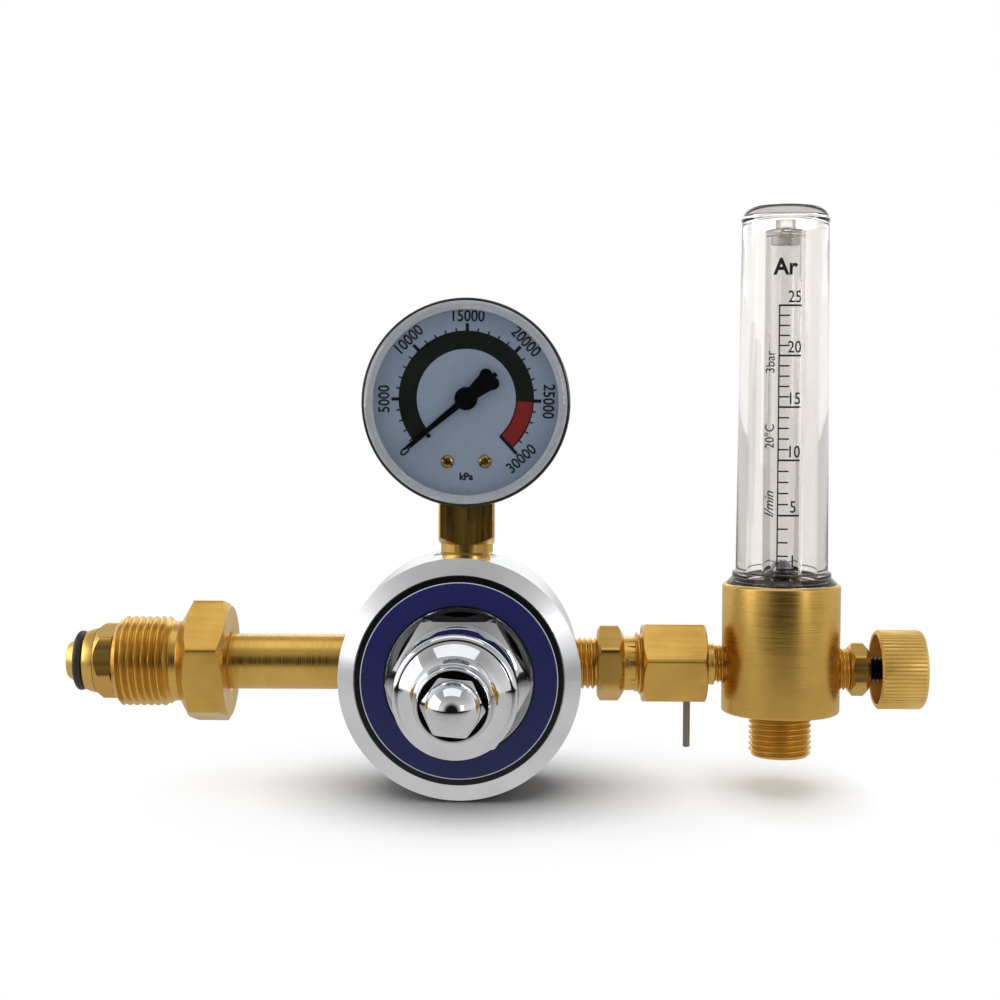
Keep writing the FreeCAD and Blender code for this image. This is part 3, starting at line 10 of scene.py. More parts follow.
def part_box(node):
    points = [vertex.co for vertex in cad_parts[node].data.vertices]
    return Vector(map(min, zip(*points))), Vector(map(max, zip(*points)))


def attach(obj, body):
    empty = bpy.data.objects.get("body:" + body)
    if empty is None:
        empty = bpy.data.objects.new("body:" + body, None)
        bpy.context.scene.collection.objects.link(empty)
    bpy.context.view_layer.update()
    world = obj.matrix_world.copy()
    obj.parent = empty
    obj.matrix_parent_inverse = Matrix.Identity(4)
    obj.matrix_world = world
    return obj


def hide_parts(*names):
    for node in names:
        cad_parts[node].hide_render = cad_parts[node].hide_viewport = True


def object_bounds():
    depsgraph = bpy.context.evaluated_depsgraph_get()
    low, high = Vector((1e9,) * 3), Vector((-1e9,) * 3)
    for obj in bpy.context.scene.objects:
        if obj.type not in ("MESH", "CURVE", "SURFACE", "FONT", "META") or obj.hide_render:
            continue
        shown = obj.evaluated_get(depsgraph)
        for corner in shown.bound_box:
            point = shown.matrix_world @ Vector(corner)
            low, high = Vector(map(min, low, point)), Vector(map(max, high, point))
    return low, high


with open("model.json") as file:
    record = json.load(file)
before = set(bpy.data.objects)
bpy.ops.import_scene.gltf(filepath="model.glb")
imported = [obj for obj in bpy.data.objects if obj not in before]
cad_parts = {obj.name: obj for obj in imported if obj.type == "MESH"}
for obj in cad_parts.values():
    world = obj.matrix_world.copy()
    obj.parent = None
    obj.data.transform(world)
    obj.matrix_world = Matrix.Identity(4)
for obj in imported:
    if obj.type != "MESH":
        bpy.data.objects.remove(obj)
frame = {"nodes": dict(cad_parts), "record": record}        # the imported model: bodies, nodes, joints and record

bl_info = {
    "name": "Flowmeter regulator",
    "version": (1, 0, 0),
    "blender": (4, 5, 0),
    "location": "3D View > Sidebar > Regulator",
    "description": "Builds a shielding gas regulator with its gauge, flow tube and valve on a packed model",
    "category": "Add Mesh",
}

RECORD = frame["record"]
BODY_OF = {node: body for body, nodes in RECORD["behaviour"]["bodies"].items() for node in nodes}
SLOT_OF = {part["node"]: part["material_slot"] for part in RECORD["subparts"]}
CAD_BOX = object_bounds()

# Which way a piece's own axis points: its local height runs along +X, -Y or +Z of the frame
RIGHT = Matrix(((0, 0, 1), (1, 0, 0), (0, 1, 0))).to_4x4()
FRONT = Matrix(((1, 0, 0), (0, 0, -1), (0, 1, 0))).to_4x4()
UP = Matrix.Identity(4)

ORIGIN = (0, 0, 0)
SAME_POINT = 2e-4        # mm within which two points are one


def edge(node, side, axis):
    """The low (0) or high (1) face of a CAD node along an axis, in millimetres."""
    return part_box(node)[side][axis] * 1000


def middle(node):
    """The middle of a CAD node's box, in millimetres."""
    low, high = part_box(node)
    return (low + high) * 500


# Sizes and colours a user would change

class ThreadSizes(bpy.types.PropertyGroup):
    bottle_pitch: FloatProperty(
        name="Bottle thread pitch", description="G 5/8, 14 turns an inch, in mm", default=1.814, min=0.5)
    hose_pitch: FloatProperty(
        name="Hose thread pitch", description="5/8-18 UNF, in mm", default=1.411, min=0.5)
    port_pitch: FloatProperty(
        name="Port thread pitch", description="G 1/4, 19 turns an inch, in mm", default=1.337, min=0.5)
    tail_pitch: FloatProperty(
        name="Tail thread pitch", description="G 1/8, 28 turns an inch, in mm", default=0.907, min=0.3)
    valve_pitch: FloatProperty(
        name="Valve thread pitch", description="Gland and spindle, in mm", default=1.0, min=0.3)
    columns: IntProperty(
        name="Columns", description="Steps round each thread", default=72, min=24, max=240)


class DialPrint(bpy.types.PropertyGroup):
    rest_angle: FloatProperty(
        name="Zero mark", description="Degrees of the mark where the pointer rests", default=220.6)
    zero_angle: FloatProperty(
        name="Even zero", description="Direction in degrees where even spacing puts zero", default=226.0)
    sweep: FloatProperty(
        name="Sweep", description="Degrees of an even scale from zero to full scale", default=273.4)
    full_scale: IntProperty(name="Full scale", description="Last number on the dial", default=30000)
    number_step: IntProperty(name="Number step", description="Units between numbers", default=5000)
    mark_step: IntProperty(name="Mark step", description="Units between marks", default=1000)
    red_from: FloatProperty(name="Red from", description="Units where the red band starts", default=25100)
    band_inner: FloatProperty(name="Band inside radius", description="In mm", default=12.6)
    band_outer: FloatProperty(name="Band outside radius", description="In mm", default=16.8)
    number_radius: FloatProperty(name="Number radius", description="In mm", default=20.45)
    number_height: FloatProperty(name="Number height", description="In mm", default=2.65)
    ink: StringProperty(name="Ink", description="sRGB hex", default="#0d0d10")
    green: StringProperty(name="Green band", description="sRGB hex", default="#052210")
    red: StringProperty(name="Red band", description="sRGB hex", default="#b01608")


class FlowPrint(bpy.types.PropertyGroup):
    top_mark: FloatProperty(
        name="25 mark", description="Height of the mark for 25 litres a minute, in mm", default=90.9)
    number_height: FloatProperty(name="Number height", description="In mm", default=2.9)
    gas_height: FloatProperty(name="Gas sign height", description="In mm", default=4.0)


class Studio(bpy.types.PropertyGroup):
    distance: FloatProperty(
        name="Camera distance", description="From its aim", default=0.4418, subtype="DISTANCE", unit="LENGTH")
    azimuth: FloatProperty(name="Azimuth", description="Degrees to the right", default=0.8)
    elevation: FloatProperty(name="Elevation", description="Degrees above its aim", default=3.0)
    roll: FloatProperty(name="Roll", description="Degrees the picture leans clockwise", default=0.2)
    focal: FloatProperty(
        name="Focal length", description="On a 36 mm sensor", default=62.2, subtype="DISTANCE_CAMERA")
    aim_right: FloatProperty(
        name="Aim", description="To the right of the body's axis", default=0.0096, subtype="DISTANCE",
        unit="LENGTH")
    aim_height: FloatProperty(
        name="Aim height", description="Above the port line", default=0.0418, subtype="DISTANCE",
        unit="LENGTH")


GROUPS = {"threads": ThreadSizes, "dial": DialPrint, "flow": FlowPrint, "studio": Studio}


def settings(name):
    """One of this add-on's groups of sizes."""
    return getattr(bpy.context.scene, "regulator_" + name)


# Outlines, in millimetres

def polar(radius, degrees):
    """The point at a radius in a direction."""
    return (radius * math.cos(math.radians(degrees)), radius * math.sin(math.radians(degrees)))


def ring_angles(count=96):
    """Even steps round a circle."""
    return [2 * math.pi * i / count for i in range(count)]


def eased(points, size=0.15):
    """A profile with each corner rounded over a short length, as turning and polishing leave it."""
    result = [points[0]]
    for before, here, after in zip(points, points[1:], points[2:]):
        corner = Vector(here)
        back, on = Vector(before) - corner, Vector(after) - corner
        if min(back.length, on.length) < 1e-6 or back.angle(on) > math.radians(165):
            result.append(here)
            continue
        reach = min(size, back.length * 0.45, on.length * 0.45)
        start = corner + back.normalized() * reach
        end = corner + on.normalized() * reach
        for t in (0.0, 0.33, 0.67, 1.0):
            result.append(tuple(start * (1 - t) ** 2 + corner * 2 * t * (1 - t) + end * t ** 2))
    return result + [points[-1]]


def arc(start, through, end, steps=10):
    """Points of the arc through three (radius, height) points, without the first."""
    (ax, ay), (bx, by), (cx, cy) = start, through, end
    aa, bb, cc = (x ** 2 + y ** 2 for x, y in (start, through, end))
    d = 2 * (ax * (by - cy) + bx * (cy - ay) + cx * (ay - by))
    ux = (aa * (by - cy) + bb * (cy - ay) + cc * (ay - by)) / d
    uy = (aa * (cx - bx) + bb * (ax - cx) + cc * (bx - ax)) / d
    radius = math.hypot(ax - ux, ay - uy)
    a0, a1, a2 = (math.atan2(y - uy, x - ux) for x, y in (start, through, end))
    turn = (a2 - a0) % (2 * math.pi)
    if (a1 - a0) % (2 * math.pi) > turn:
        turn -= 2 * math.pi
    angles = [a0 + turn * i / steps for i in range(1, steps + 1)]
    return [(ux + radius * math.cos(a), uy + radius * math.sin(a)) for a in angles]


def dome(radius, low, high, steps=10):
    """Points of a shallow cap from its rim to the axis, without the rim."""
    rise = high - low
    ball = (radius ** 2 + rise ** 2) / (2 * rise)
    full = math.asin(radius / ball)
    angles = [full * (1 - i / steps) for i in range(1, steps + 1)]
    return [(ball * math.sin(a), high - ball * (1 - math.cos(a))) for a in angles]


def along(points, height):
    """Radius of an outline of (height, radius) points at a height."""
    for (z0, r0), (z1, r1) in zip(points, points[1:]):
        if height <= z1:
            return r0 + (r1 - r0) * max(0.0, (height - z0) / max(z1 - z0, 1e-9))
    return points[-1][1]


# Surfaces

def piece(name, bm, node, finishes):
    """Makes an object of a mesh in metres, on a CAD node's body and with the given finishes."""
    mesh = bpy.data.meshes.new(name)
    bm.to_mesh(mesh)
    bm.free()
    made = bpy.data.objects.new(name, mesh)
    bpy.context.scene.collection.objects.link(made)
    for short in finishes:
        mesh.materials.append(finish(short))
    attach(made, BODY_OF[node])
    return made


class Form:
    """Collects turned and threaded surfaces into one mesh, in millimetres about its own axis."""

    def __init__(self):
        self.bm = bmesh.new()

    def turn(self, rings, angles=None, closed=False, skin=0):
        """Adds rings of (radius, height), or functions of the angle that give them, joined by faces."""
        angles = angles or ring_angles()
        made = []
        for ring in rings:
            points = [ring(a) if callable(ring) else ring for a in angles]
            made.append([self.bm.verts.new((r * math.cos(a), r * math.sin(a), z))
                         for a, (r, z) in zip(angles, points)])
        pairs = list(zip(made, made[1:])) + ([(made[-1], made[0])] if closed else [])
        for low, high in pairs:
            for i in range(len(angles)):
                j = (i + 1) % len(angles)
                self.bm.faces.new((low[i], low[j], high[j], high[i])).material_index = skin
        return self

    def grip(self, flats, low, high, turn, low_face=0.97, high_face=0.97, slope=30.0, trim=0.12, soft=0.9,
             first=None, last=None, skin=1):
        """Adds a hexagon whose corners are turned off at its ends; a face of 0 leaves that end square.

        The faces are shares of the flats. Two steps close to each corner let its edge catch the light; first
        and last are the radii to which its ends close.
        """
        corner = flats / math.sqrt(3) - trim
        rise = math.tan(math.radians(slope))

        def ring(height, face, sign):
            def at(angle):
                within = (math.degrees(angle) - turn) % 60 - 30
                r = min(flats / 2 / math.cos(math.radians(within)), corner)
                return (r, height + sign * max(0.0, r - flats / 2 * face) * rise if face else height)
            return at

        rings = [(first, low)] if first else []
        rings += [(flats / 2 * low_face, low)] if low_face else []
        rings += [ring(low, low_face, 1), ring(high, high_face, -1)]
        rings += [(flats / 2 * high_face, high)] if high_face else []
        rings += [(last, high)] if last else []
        steps = 13
        side = [0.0, soft] + [soft + (60 - 2 * soft) * i / steps for i in range(1, steps + 1)]
        return self.turn(rings, [math.radians(turn + 60 * k + a) for k in range(6) for a in side], skin=skin)

    def thread(self, pitch, crest, root, low, high, outline):
        """Adds a right-hand thread between two heights, kept under an outline of (height, radius) points."""
        shape = [(0.0, crest), (0.08, crest - 0.02), (0.14, crest - 0.12), (0.42, root + 0.1), (0.47, root),
                 (0.53, root), (0.58, root + 0.1), (0.86, crest - 0.12), (0.92, crest - 0.02), (1.0, crest)]
        phases = [phase for phase, radius in shape[:-1]]
        columns = settings("threads").columns
        turns = range(math.floor(low / pitch) - 1, math.ceil(high / pitch) + 1)
        made = []
        for start in [n + phase for n in turns for phase in phases]:
            row = []
            for j in range(columns):
                share = j / columns
                z = min(max((start + share) * pitch, low), high)
                r = min(along(shape, (z / pitch - share) % 1.0), along(outline, z))
                angle = 2 * math.pi * share
                row.append(self.bm.verts.new((r * math.cos(angle), r * math.sin(angle), z)))
            made.append(row)
        for i in range(len(made) - 1):
            for j in range(columns):
                # The last column joins the first one, a turn further on
                shift, k = (0, j + 1) if j + 1 < columns else (len(phases), 0)
                if i + 1 + shift >= len(made):
                    continue
                corners = (made[i][j], made[i + shift][k], made[i + 1 + shift][k], made[i + 1][j])
                if max(c.co.z for c in corners) - min(c.co.z for c in corners) > 1e-6:
                    self.bm.faces.new(corners)
        return self

    def done(self, name, facing, place, node, *finishes, sharp=32.0):
        """Makes the piece that stands for a CAD node, its axis facing one way from a place in millimetres."""
        bmesh.ops.remove_doubles(self.bm, verts=self.bm.verts, dist=SAME_POINT)
        loose = [v for v in self.bm.verts if not v.link_faces]
        bmesh.ops.delete(self.bm, geom=loose, context="VERTS")
        bmesh.ops.recalc_face_normals(self.bm, faces=self.bm.faces)
        self.bm.transform(Matrix.Scale(0.001, 4) @ Matrix.Translation(Vector(place)) @ facing)
        made = piece(name, self.bm, node, finishes)
        made.data.shade_smooth()
        made.data.set_sharp_from_angle(angle=math.radians(sharp))
        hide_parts(node)


class Print:
    """Flat printed shapes in millimetres: x to the right, y up, seen from the front."""

    def __init__(self):
        self.bm = bmesh.new()

    def shape(self, points, skin=0):
        """One printed outline."""
        face = self.bm.faces.new([self.bm.verts.new((x, y, 0)) for x, y in points])
        face.material_index = skin

    def line(self, start, end, width):
        """A straight printed line."""
        a, b = Vector(start), Vector(end)
        side = (b - a).orthogonal().normalized() * width / 2
        self.shape([a - side, b - side, b + side, a + side])

    def band(self, inner, outer, start, end, steps, skin=0):
        """Part of a ring between two directions in degrees."""
        for i in range(steps):
            a = start + (end - start) * i / steps
            b = start + (end - start) * (i + 1) / steps
            self.shape([polar(inner, a), polar(outer, a), polar(outer, b), polar(inner, b)], skin)

    def text(self, words, height, place, turn=0.0, narrow=1.0, weight=0.0, lean=0.0):
        """Words centred on a place, with capitals of that height."""
        curve = bpy.data.curves.new("lettering", "FONT")
        curve.body = words
        curve.align_x = "CENTER"
        curve.align_y = "CENTER"
        curve.size = height / 0.7
        curve.offset = weight
        curve.shear = lean
        curve.resolution_u = 4
        holder = bpy.data.objects.new("lettering", curve)
        bpy.context.scene.collection.objects.link(holder)
        bpy.context.view_layer.update()
        mesh = bpy.data.meshes.new_from_object(holder.evaluated_get(bpy.context.evaluated_depsgraph_get()))
        bpy.data.objects.remove(holder)
        bpy.data.curves.remove(curve)
        move = Matrix.Translation((*place, 0)) @ Matrix.Rotation(math.radians(turn), 4, "Z")
        mesh.transform(move @ Matrix.Diagonal((narrow, 1, 1, 1)))
        self.bm.from_mesh(mesh)
        bpy.data.meshes.remove(mesh)

    def sliced(self, width):
        """Cuts the print into upright strips, so that it can follow a round surface."""
        cut = min(vertex.co.x for vertex in self.bm.verts) + width
        end = max(vertex.co.x for vertex in self.bm.verts)
        while cut < end:
            parts = self.bm.verts[:] + self.bm.edges[:] + self.bm.faces[:]
            bmesh.ops.bisect_plane(self.bm, geom=parts, dist=1e-5, plane_co=(cut, 0, 0), plane_no=(1, 0, 0))
            cut += width

    def done(self, name, wrap, node, *finishes):
        """Lays the print on a node's surface, where wrap turns (x, y) into a point of the frame in mm."""
        bmesh.ops.triangulate(self.bm, faces=self.bm.faces)
        for vertex in self.bm.verts:
            vertex.co = wrap(vertex.co.x, vertex.co.y) / 1000
        piece(name, self.bm, node, finishes)


def refinish(node, short):
    """Gives a CAD node that stays its finish."""
    owner = frame["nodes"][node]
    if not owner.data.materials:
        owner.data.materials.append(finish(short))
    for place in owner.material_slots:
        place.material = finish(short)


# Finishes

def linear(code):
    """A colour written as sRGB hex, as the linear values that the shader takes."""
    parts = [int(code[i:i + 2], 16) / 255 for i in (1, 3, 5)]
    return tuple(c / 12.92 if c <= 0.04045 else ((c + 0.055) / 1.055) ** 2.4 for c in parts) + (1.0,)


def add(tree, kind, inputs=None, **values):
    """Adds one node with its settings; an input is a value or another node's output."""
    node = tree.nodes.new(kind)
    for key, value in values.items():
        setattr(node, key, value)
    for key, value in (inputs or {}).items():
        if isinstance(value, bpy.types.NodeSocket):
            tree.links.new(value, node.inputs[key])
        else:
            node.inputs[key].default_value = value
    return node


def surface(name, fixed, colours=(), patches=None, blend=(0.3, 0.7), rough=(), marks=None, relief=()):
    """A material with its tree, shader and place: two colours in patches, and marks in roughness and height.

    fixed holds what is the same all over. A pattern, for patches or marks, is (size in mm or one for each
    axis, detail, roughness); blend is where in it the colours change, rough the least and most roughness, and
    relief the strength and the height in mm of the bump. Without patches, the colours follow the marks.
    """
    material = bpy.data.materials.new(name)
    material.use_nodes = True
    tree = material.node_tree
    tree.nodes.clear()
    place = add(tree, "ShaderNodeTexCoord").outputs["Object"]

    def pattern(size, detail, roughness=0.5):
        scale = [1000 / s for s in (size if isinstance(size, tuple) else (size,) * 3)]
        lines = add(tree, "ShaderNodeMapping", {"Vector": place, "Scale": scale}).outputs["Vector"]
        return add(tree, "ShaderNodeTexNoise", {"Vector": lines, "Scale": 1.0, "Detail": detail,
                                                "Roughness": roughness}).outputs["Fac"]

    inputs = dict(fixed)
    if marks:
        fine = pattern(*marks)
        inputs["Roughness"] = add(tree, "ShaderNodeMapRange", {
            "Value": fine, "From Min": 0.3, "From Max": 0.7, "To Min": rough[0], "To Max": rough[1],
        }).outputs["Result"]
        inputs["Normal"] = add(tree, "ShaderNodeBump", {
            "Height": fine, "Strength": relief[0], "Distance": relief[1] / 1000}).outputs["Normal"]
    if colours:
        broad = pattern(*patches) if patches else fine
        fac = add(tree, "ShaderNodeMapRange", {"Value": broad, "From Min": blend[0], "From Max": blend[1]})
        inputs["Base Color"] = add(tree, "ShaderNodeMix", {
            "Factor": fac.outputs["Result"], "A": linear(colours[0]), "B": linear(colours[1]),
        }, data_type="RGBA").outputs["Result"]
    shader = add(tree, "ShaderNodeBsdfPrincipled", inputs)
    add(tree, "ShaderNodeOutputMaterial", {"Surface": shader.outputs["BSDF"]})
    return material, tree, shader, place


def metal(name, light, dark, rough, marks, height, patches=16.67):
    """A bare metal: patches of tarnish, and fine marks, of these sizes in mm."""
    return surface(name, {"Metallic": 1.0}, (light, dark), (patches, 4.0, 0.6), (0.35, 0.68),
                   (rough * 0.8, rough * 1.3), (marks, 3.0), (0.2, height))[0]


def turned_chrome():
    """Chrome over a fine-turned face, whose feed rings spread highlights into a fan of light and dark."""
    material, tree, shader = surface(
        "Chrome plate over turned brass", {"Metallic": 1.0, "Roughness": 0.2, "Anisotropic": 0.75},
        ("#eaecef", "#dcdfe4"), (11.11, 3.0))[:3]
    tangent = add(tree, "ShaderNodeTangent", direction_type="RADIAL", axis="Y")
    tree.links.new(tangent.outputs["Tangent"], shader.inputs["Tangent"])
    return material


def printed_ring():
    """Aluminium foil label, screen printed: dark blue between two black lines, and a bare silver edge."""
    material, tree, shader, place = surface(
        "Screen-printed foil, dark blue", {"Specular IOR Level": 0.3}, rough=(0.2, 0.28), marks=(0.6667, 2.0),
        relief=(0.2, 0.008))
    centre = middle("label_ring") / 1000
    offset = add(tree, "ShaderNodeVectorMath", {0: place, 1: (centre.x, 0.0, centre.z)}, operation="SUBTRACT")
    flat = add(tree, "ShaderNodeVectorMath", {0: offset.outputs["Vector"], 1: (1.0, 0.0, 1.0)},
               operation="MULTIPLY")
    radius = add(tree, "ShaderNodeVectorMath", {0: flat.outputs["Vector"]}, operation="LENGTH")
    # The ramp runs from the ring's hole, 18 mm from the axis, to its rim at 26 mm
    share = add(tree, "ShaderNodeMapRange", {
        "Value": radius.outputs["Value"], "From Min": 0.018, "From Max": 0.026})
    ramp = add(tree, "ShaderNodeValToRGB", {"Fac": share.outputs["Result"]})
    ramp.color_ramp.interpolation = "CONSTANT"
    stops(ramp, (0.0, "#0c0c10"), (0.07, "#1e2154"), (0.755, "#b9bdc6"), (0.785, "#0b0b0e"))
    tree.links.new(ramp.outputs["Color"], shader.inputs["Base Color"])
    return material


def stops(ramp, *colours):
    """Sets the stops of a colour ramp, which has two to start with, from (position, hex) pairs."""
    elements = ramp.color_ramp.elements
    for i, (position, code) in enumerate(colours):
        stop = elements[i] if i < 2 else elements.new(position)
        stop.position = position
        stop.color = linear(code)


def clear_plastic(name, light, dark, rough, index):
    """Clear moulded plastic: sharp highlights, a faint grey tint and the soft waviness of a moulding."""
    return surface(name, {"Transmission Weight": 1.0, "IOR": index}, (light, dark), None, (0.0, 1.0),
                   (rough * 0.6, rough * 1.6), (8.333, 1.0), (0.12, 0.06))[0]


def coated(name, light, dark, rough, grain, height, coat=0.0, metallic=0.0):
    """Paint, rubber, plastic or ink: two near colours in a fine grain, which is in its surface too."""
    return surface(name, {"Metallic": metallic, "Coat Weight": coat}, (light, dark), None, (0.35, 0.65),
                   (rough * 0.85, rough * 1.15), (grain, 3.0, 0.6), (0.3, height))[0]


def ink(name, field, shade):
    """Screen-printing ink in one of the dial's colours: satin, and thick enough to stand on the surface."""
    return coated(name, getattr(settings("dial"), field), shade, 0.5, 0.4, 0.004)


# Each finish by a short name, as the function that makes it and what that takes
FINISHES = {
    # Free-cutting brass, turned: warm yellow, with feed lines round the axis and a little tarnish; the feed
    # is 0.15 mm, and its lines are drawn 0.3 mm apart so that they show
    "brass_x": (metal, "Free-cutting brass turned about X", "#e3ba61", "#cfa656", 0.3,
                (0.303, 16.67, 16.67), 0.005),
    "brass_z": (metal, "Free-cutting brass turned about Z", "#e3ba61", "#cfa656", 0.3,
                (16.67, 16.67, 0.303), 0.005),
    # Drawn brass bar: the flats of a hexagon keep long shallow marks along the bar
    "bar_x": (metal, "Drawn brass bar along X", "#dab25c", "#c49a4c", 0.28, (16.67, 1.111, 1.111), 0.005),
    "bar_z": (metal, "Drawn brass bar along Z", "#dab25c", "#c49a4c", 0.28, (1.111, 1.111, 16.67), 0.005),
    # Rolled knurling: its ridges are duller than a turned face, so the knob keeps its light all round
    "knurled": (metal, "Knurled brass", "#f6d07b", "#e3ba65", 0.42, 3.333, 0.006),
    # Nickel-chrome plating over polished brass: cool mirror with the faintest orange peel
    "chrome": (metal, "Bright chrome plate", "#e2e4e8", "#d2d5da", 0.06, 2.0, 0.004, 11.11),
    "turned_chrome": (turned_chrome,),
    # A painted shade deep in the recess: nearly black, where the recess lies in shade
    "recess": (coated, "Painted shade in a recess", "#1c1a19", "#100f0f", 0.5, 1.429, 0.01),
    # Ground and blackened steel: nearly black, with a soft sheen on its edges
    "black_steel": (coated, "Blackened steel", "#17171a", "#0b0b0d", 0.38, 1.111, 0.01, 0.0, 0.6),
    # Cold-drawn steel: grey, bright, with fine marks
    "steel": (metal, "Bright drawn steel", "#b9babd", "#909296", 0.25, 1.111, 0.006),
    # The pin's steel, handled and dulled: brownish grey
    "pin_steel": (metal, "Dulled drawn steel", "#958b80", "#7b7167", 0.32, (1.111, 1.111, 16.67), 0.006),
    # Stove enamel: deep black and glossy, with a slight orange peel
    "enamel": (coated, "Black stove enamel", "#09090a", "#0f0f11", 0.3, 2.0, 0.01, 0.2),
    # Screen-printed white enamel: cool white, satin
    "dial": (coated, "White dial enamel", "#b5c4db", "#adbcd2", 0.45, 0.5556, 0.006),
    # Nitrile rubber, moulded: black, matt with a little bloom
    "rubber": (coated, "Black nitrile rubber", "#141416", "#1f1f22", 0.5, 0.7143, 0.02),
    # Natural nylon, turned: creamy white and waxy
    "nylon": (coated, "Natural nylon", "#e3e1d6", "#d2cfc1", 0.42, 1.429, 0.01),
    # The same nylon moulded thin: it lets light through, milky and a little grey
    "thin_nylon": (clear_plastic, "Thin natural nylon", "#eeece8", "#dcd9d4", 0.3, 1.53),
    # Phosphor bronze strip and tube: redder and duller than brass
    "bronze": (metal, "Phosphor bronze", "#c08a5a", "#9a6638", 0.32, 1.25, 0.01),
    # Annealed copper: soft, pink and dull
    "copper": (metal, "Annealed copper", "#c47a58", "#a05a3c", 0.4, 1.667, 0.01),
    # Stamped clock brass: bright and flat
    "clock_brass": (metal, "Stamped brass", "#d8b468", "#bb9244", 0.26, (1.111, 16.67, 1.111), 0.01),
    "label": (printed_ring,),
    # Moulded acrylic cover: clear and a little warm
    "acrylic": (clear_plastic, "Clear acrylic", "#f8f5f3", "#f4f1ee", 0.03, 1.49),
    # Cast and polished flow tube, clearer than the moulded cover
    "tube": (clear_plastic, "Polished acrylic tube", "#ffffff", "#fafafa", 0.02, 1.49),
    # Polycarbonate gauge glass: clear and a little cool
    "window": (clear_plastic, "Clear polycarbonate", "#fafbfc", "#f1f3f5", 0.03, 1.58),
    # The window's skirt: milky and pale, a painted highlight standing for the light the clear rim catches where
    # the face shows its edge
    "rim_highlight": (coated, "Polycarbonate skirt, painted highlight", "#dfe2e6", "#d3d7dc", 0.5, 1.111, 0.01),
    "ink": (ink, "Black printing ink", "ink", "#141418"),
    "green_ink": (ink, "Green printing ink", "green", "#041f0b"),
    "red_ink": (ink, "Red printing ink", "red", "#a01207"),
}

BY_SLOT = {
    "brass": "brass_x", "small_brass": "clock_brass", "chrome": "chrome", "blue_label": "label",
    "steel": "steel", "black_steel": "black_steel", "case_black": "enamel", "dial_white": "dial",
    "phosphor_bronze": "bronze", "copper": "copper", "rubber": "rubber", "seat_plastic": "nylon",
    "clear_plastic": "acrylic", "clear_lens": "window",
}


def finish(short):
    """A finish by its short name, made the first time it is asked for."""
    key = "finish_" + short
    if key not in bpy.context.scene:
        make, *takes = FINISHES[short]
        bpy.context.scene[key] = make(*takes).name
    return bpy.data.materials[bpy.context.scene[key]]


# Bottle connection

class BuildBottleNut(bpy.types.Operator):
    """Loose nut with its outside thread, undercut and hexagon."""
    bl_idname = "regulator.bottle_nut"
    bl_label = "Bottle nut"

    def execute(self, context):
        front = edge("inlet_nut", 0, 0)
        back = edge("inlet_nut", 1, 0)
        crest = 11.455
        neck = 10.2
        mouth = 9.65
        bore = 7.15
        flats = 28.6
        shoulder = 10.302
        undercut = front + 14.7
        hex_low = undercut + 1.9
        form = Form().thread(settings("threads").bottle_pitch, crest, crest - 1.162, front, undercut,
                             [(front, mouth), (front + 1.6, crest), (undercut - 1.6, crest),
                              (undercut, neck)])
        form.turn(eased([(neck, undercut), (neck, hex_low - 0.3), (neck + 0.1, hex_low)], 0.2))
        form.grip(flats, hex_low, back, 42.9, shoulder / (flats / 2))
        form.turn(eased([(13.87, back), (bore + 0.7, back), (bore, back - 0.7), (bore, front + 0.6),
                         (bore + 0.6, front), (mouth, front)]))
        form.done("bottle_nut", RIGHT, ORIGIN, "inlet_nut", "brass_x", "bar_x")
        return {"FINISHED"}


class BuildNose(bpy.types.Operator):
    """Bullnose with its hexagon, its sealing ring and the tube behind it."""
    bl_idname = "regulator.nose"
    bl_label = "Nose and tube"

    def execute(self, context):
        tip = edge("nose_nipple", 0, 0)
        groove = tip + 2.15
        face = groove + 2.4
        hex_low = face + 3.0
        shoulder = hex_low + 4.9
        bore = 3.0
        nose = [(2.0, tip + 6), (2.0, tip + 0.4), (2.3, tip), (4.3, tip), (4.6, tip + 0.3), (5.7, groove),
                (5.3, groove), (5.3, face), (7.2, face), (7.5, face + 0.2)]
        nose += arc((7.5, face + 0.2), (7.95, face + 1.35), (8.3, hex_low), 6)
        form = Form().turn(eased(nose, 0.18)).grip(16.9, hex_low, shoulder, 17.4, 0.97, 0, 50.0)
        form.turn([(8.4, shoulder), (bore, shoulder)])
        form.done("bottle_nose", RIGHT, ORIGIN, "nose_nipple", "brass_x", "bar_x")
        section = 1.15
        mean = 7.65 - section
        seal = [(mean + section * math.cos(t), groove + 1.2 + section * math.sin(t)) for t in ring_angles(20)]
        Form().turn(seal, closed=True).done("bottle_nose_seal", RIGHT, ORIGIN, "nose_o_ring", "rubber")
        low = edge("inlet_tube", 0, 0)
        high = edge("inlet_tube", 1, 0)
        tube = eased([(bore, low + 0.5), (5.05, low), (6.75, low), (7.05, low + 0.3), (7.05, high - 0.5),
                      (6.55, high), (bore, high), (bore, low + 0.5)])
        Form().turn(tube).done("bottle_tube", RIGHT, ORIGIN, "inlet_tube", "brass_x")
        return {"FINISHED"}


# Regulator

def body_axis():
    """A point on the regulator's own axis, in millimetres."""
    place = middle("bonnet")
    return Vector((place.x, 0.0, place.z))


class BuildBody(bpy.types.Operator):
    """Turned body and its printed ring."""
    bl_idname = "regulator.body"
    bl_label = "Body"

    def execute(self, context):
        refinish("regulator_body", "turned_chrome")
        refinish("label_ring", "label")
        return {"FINISHED"}


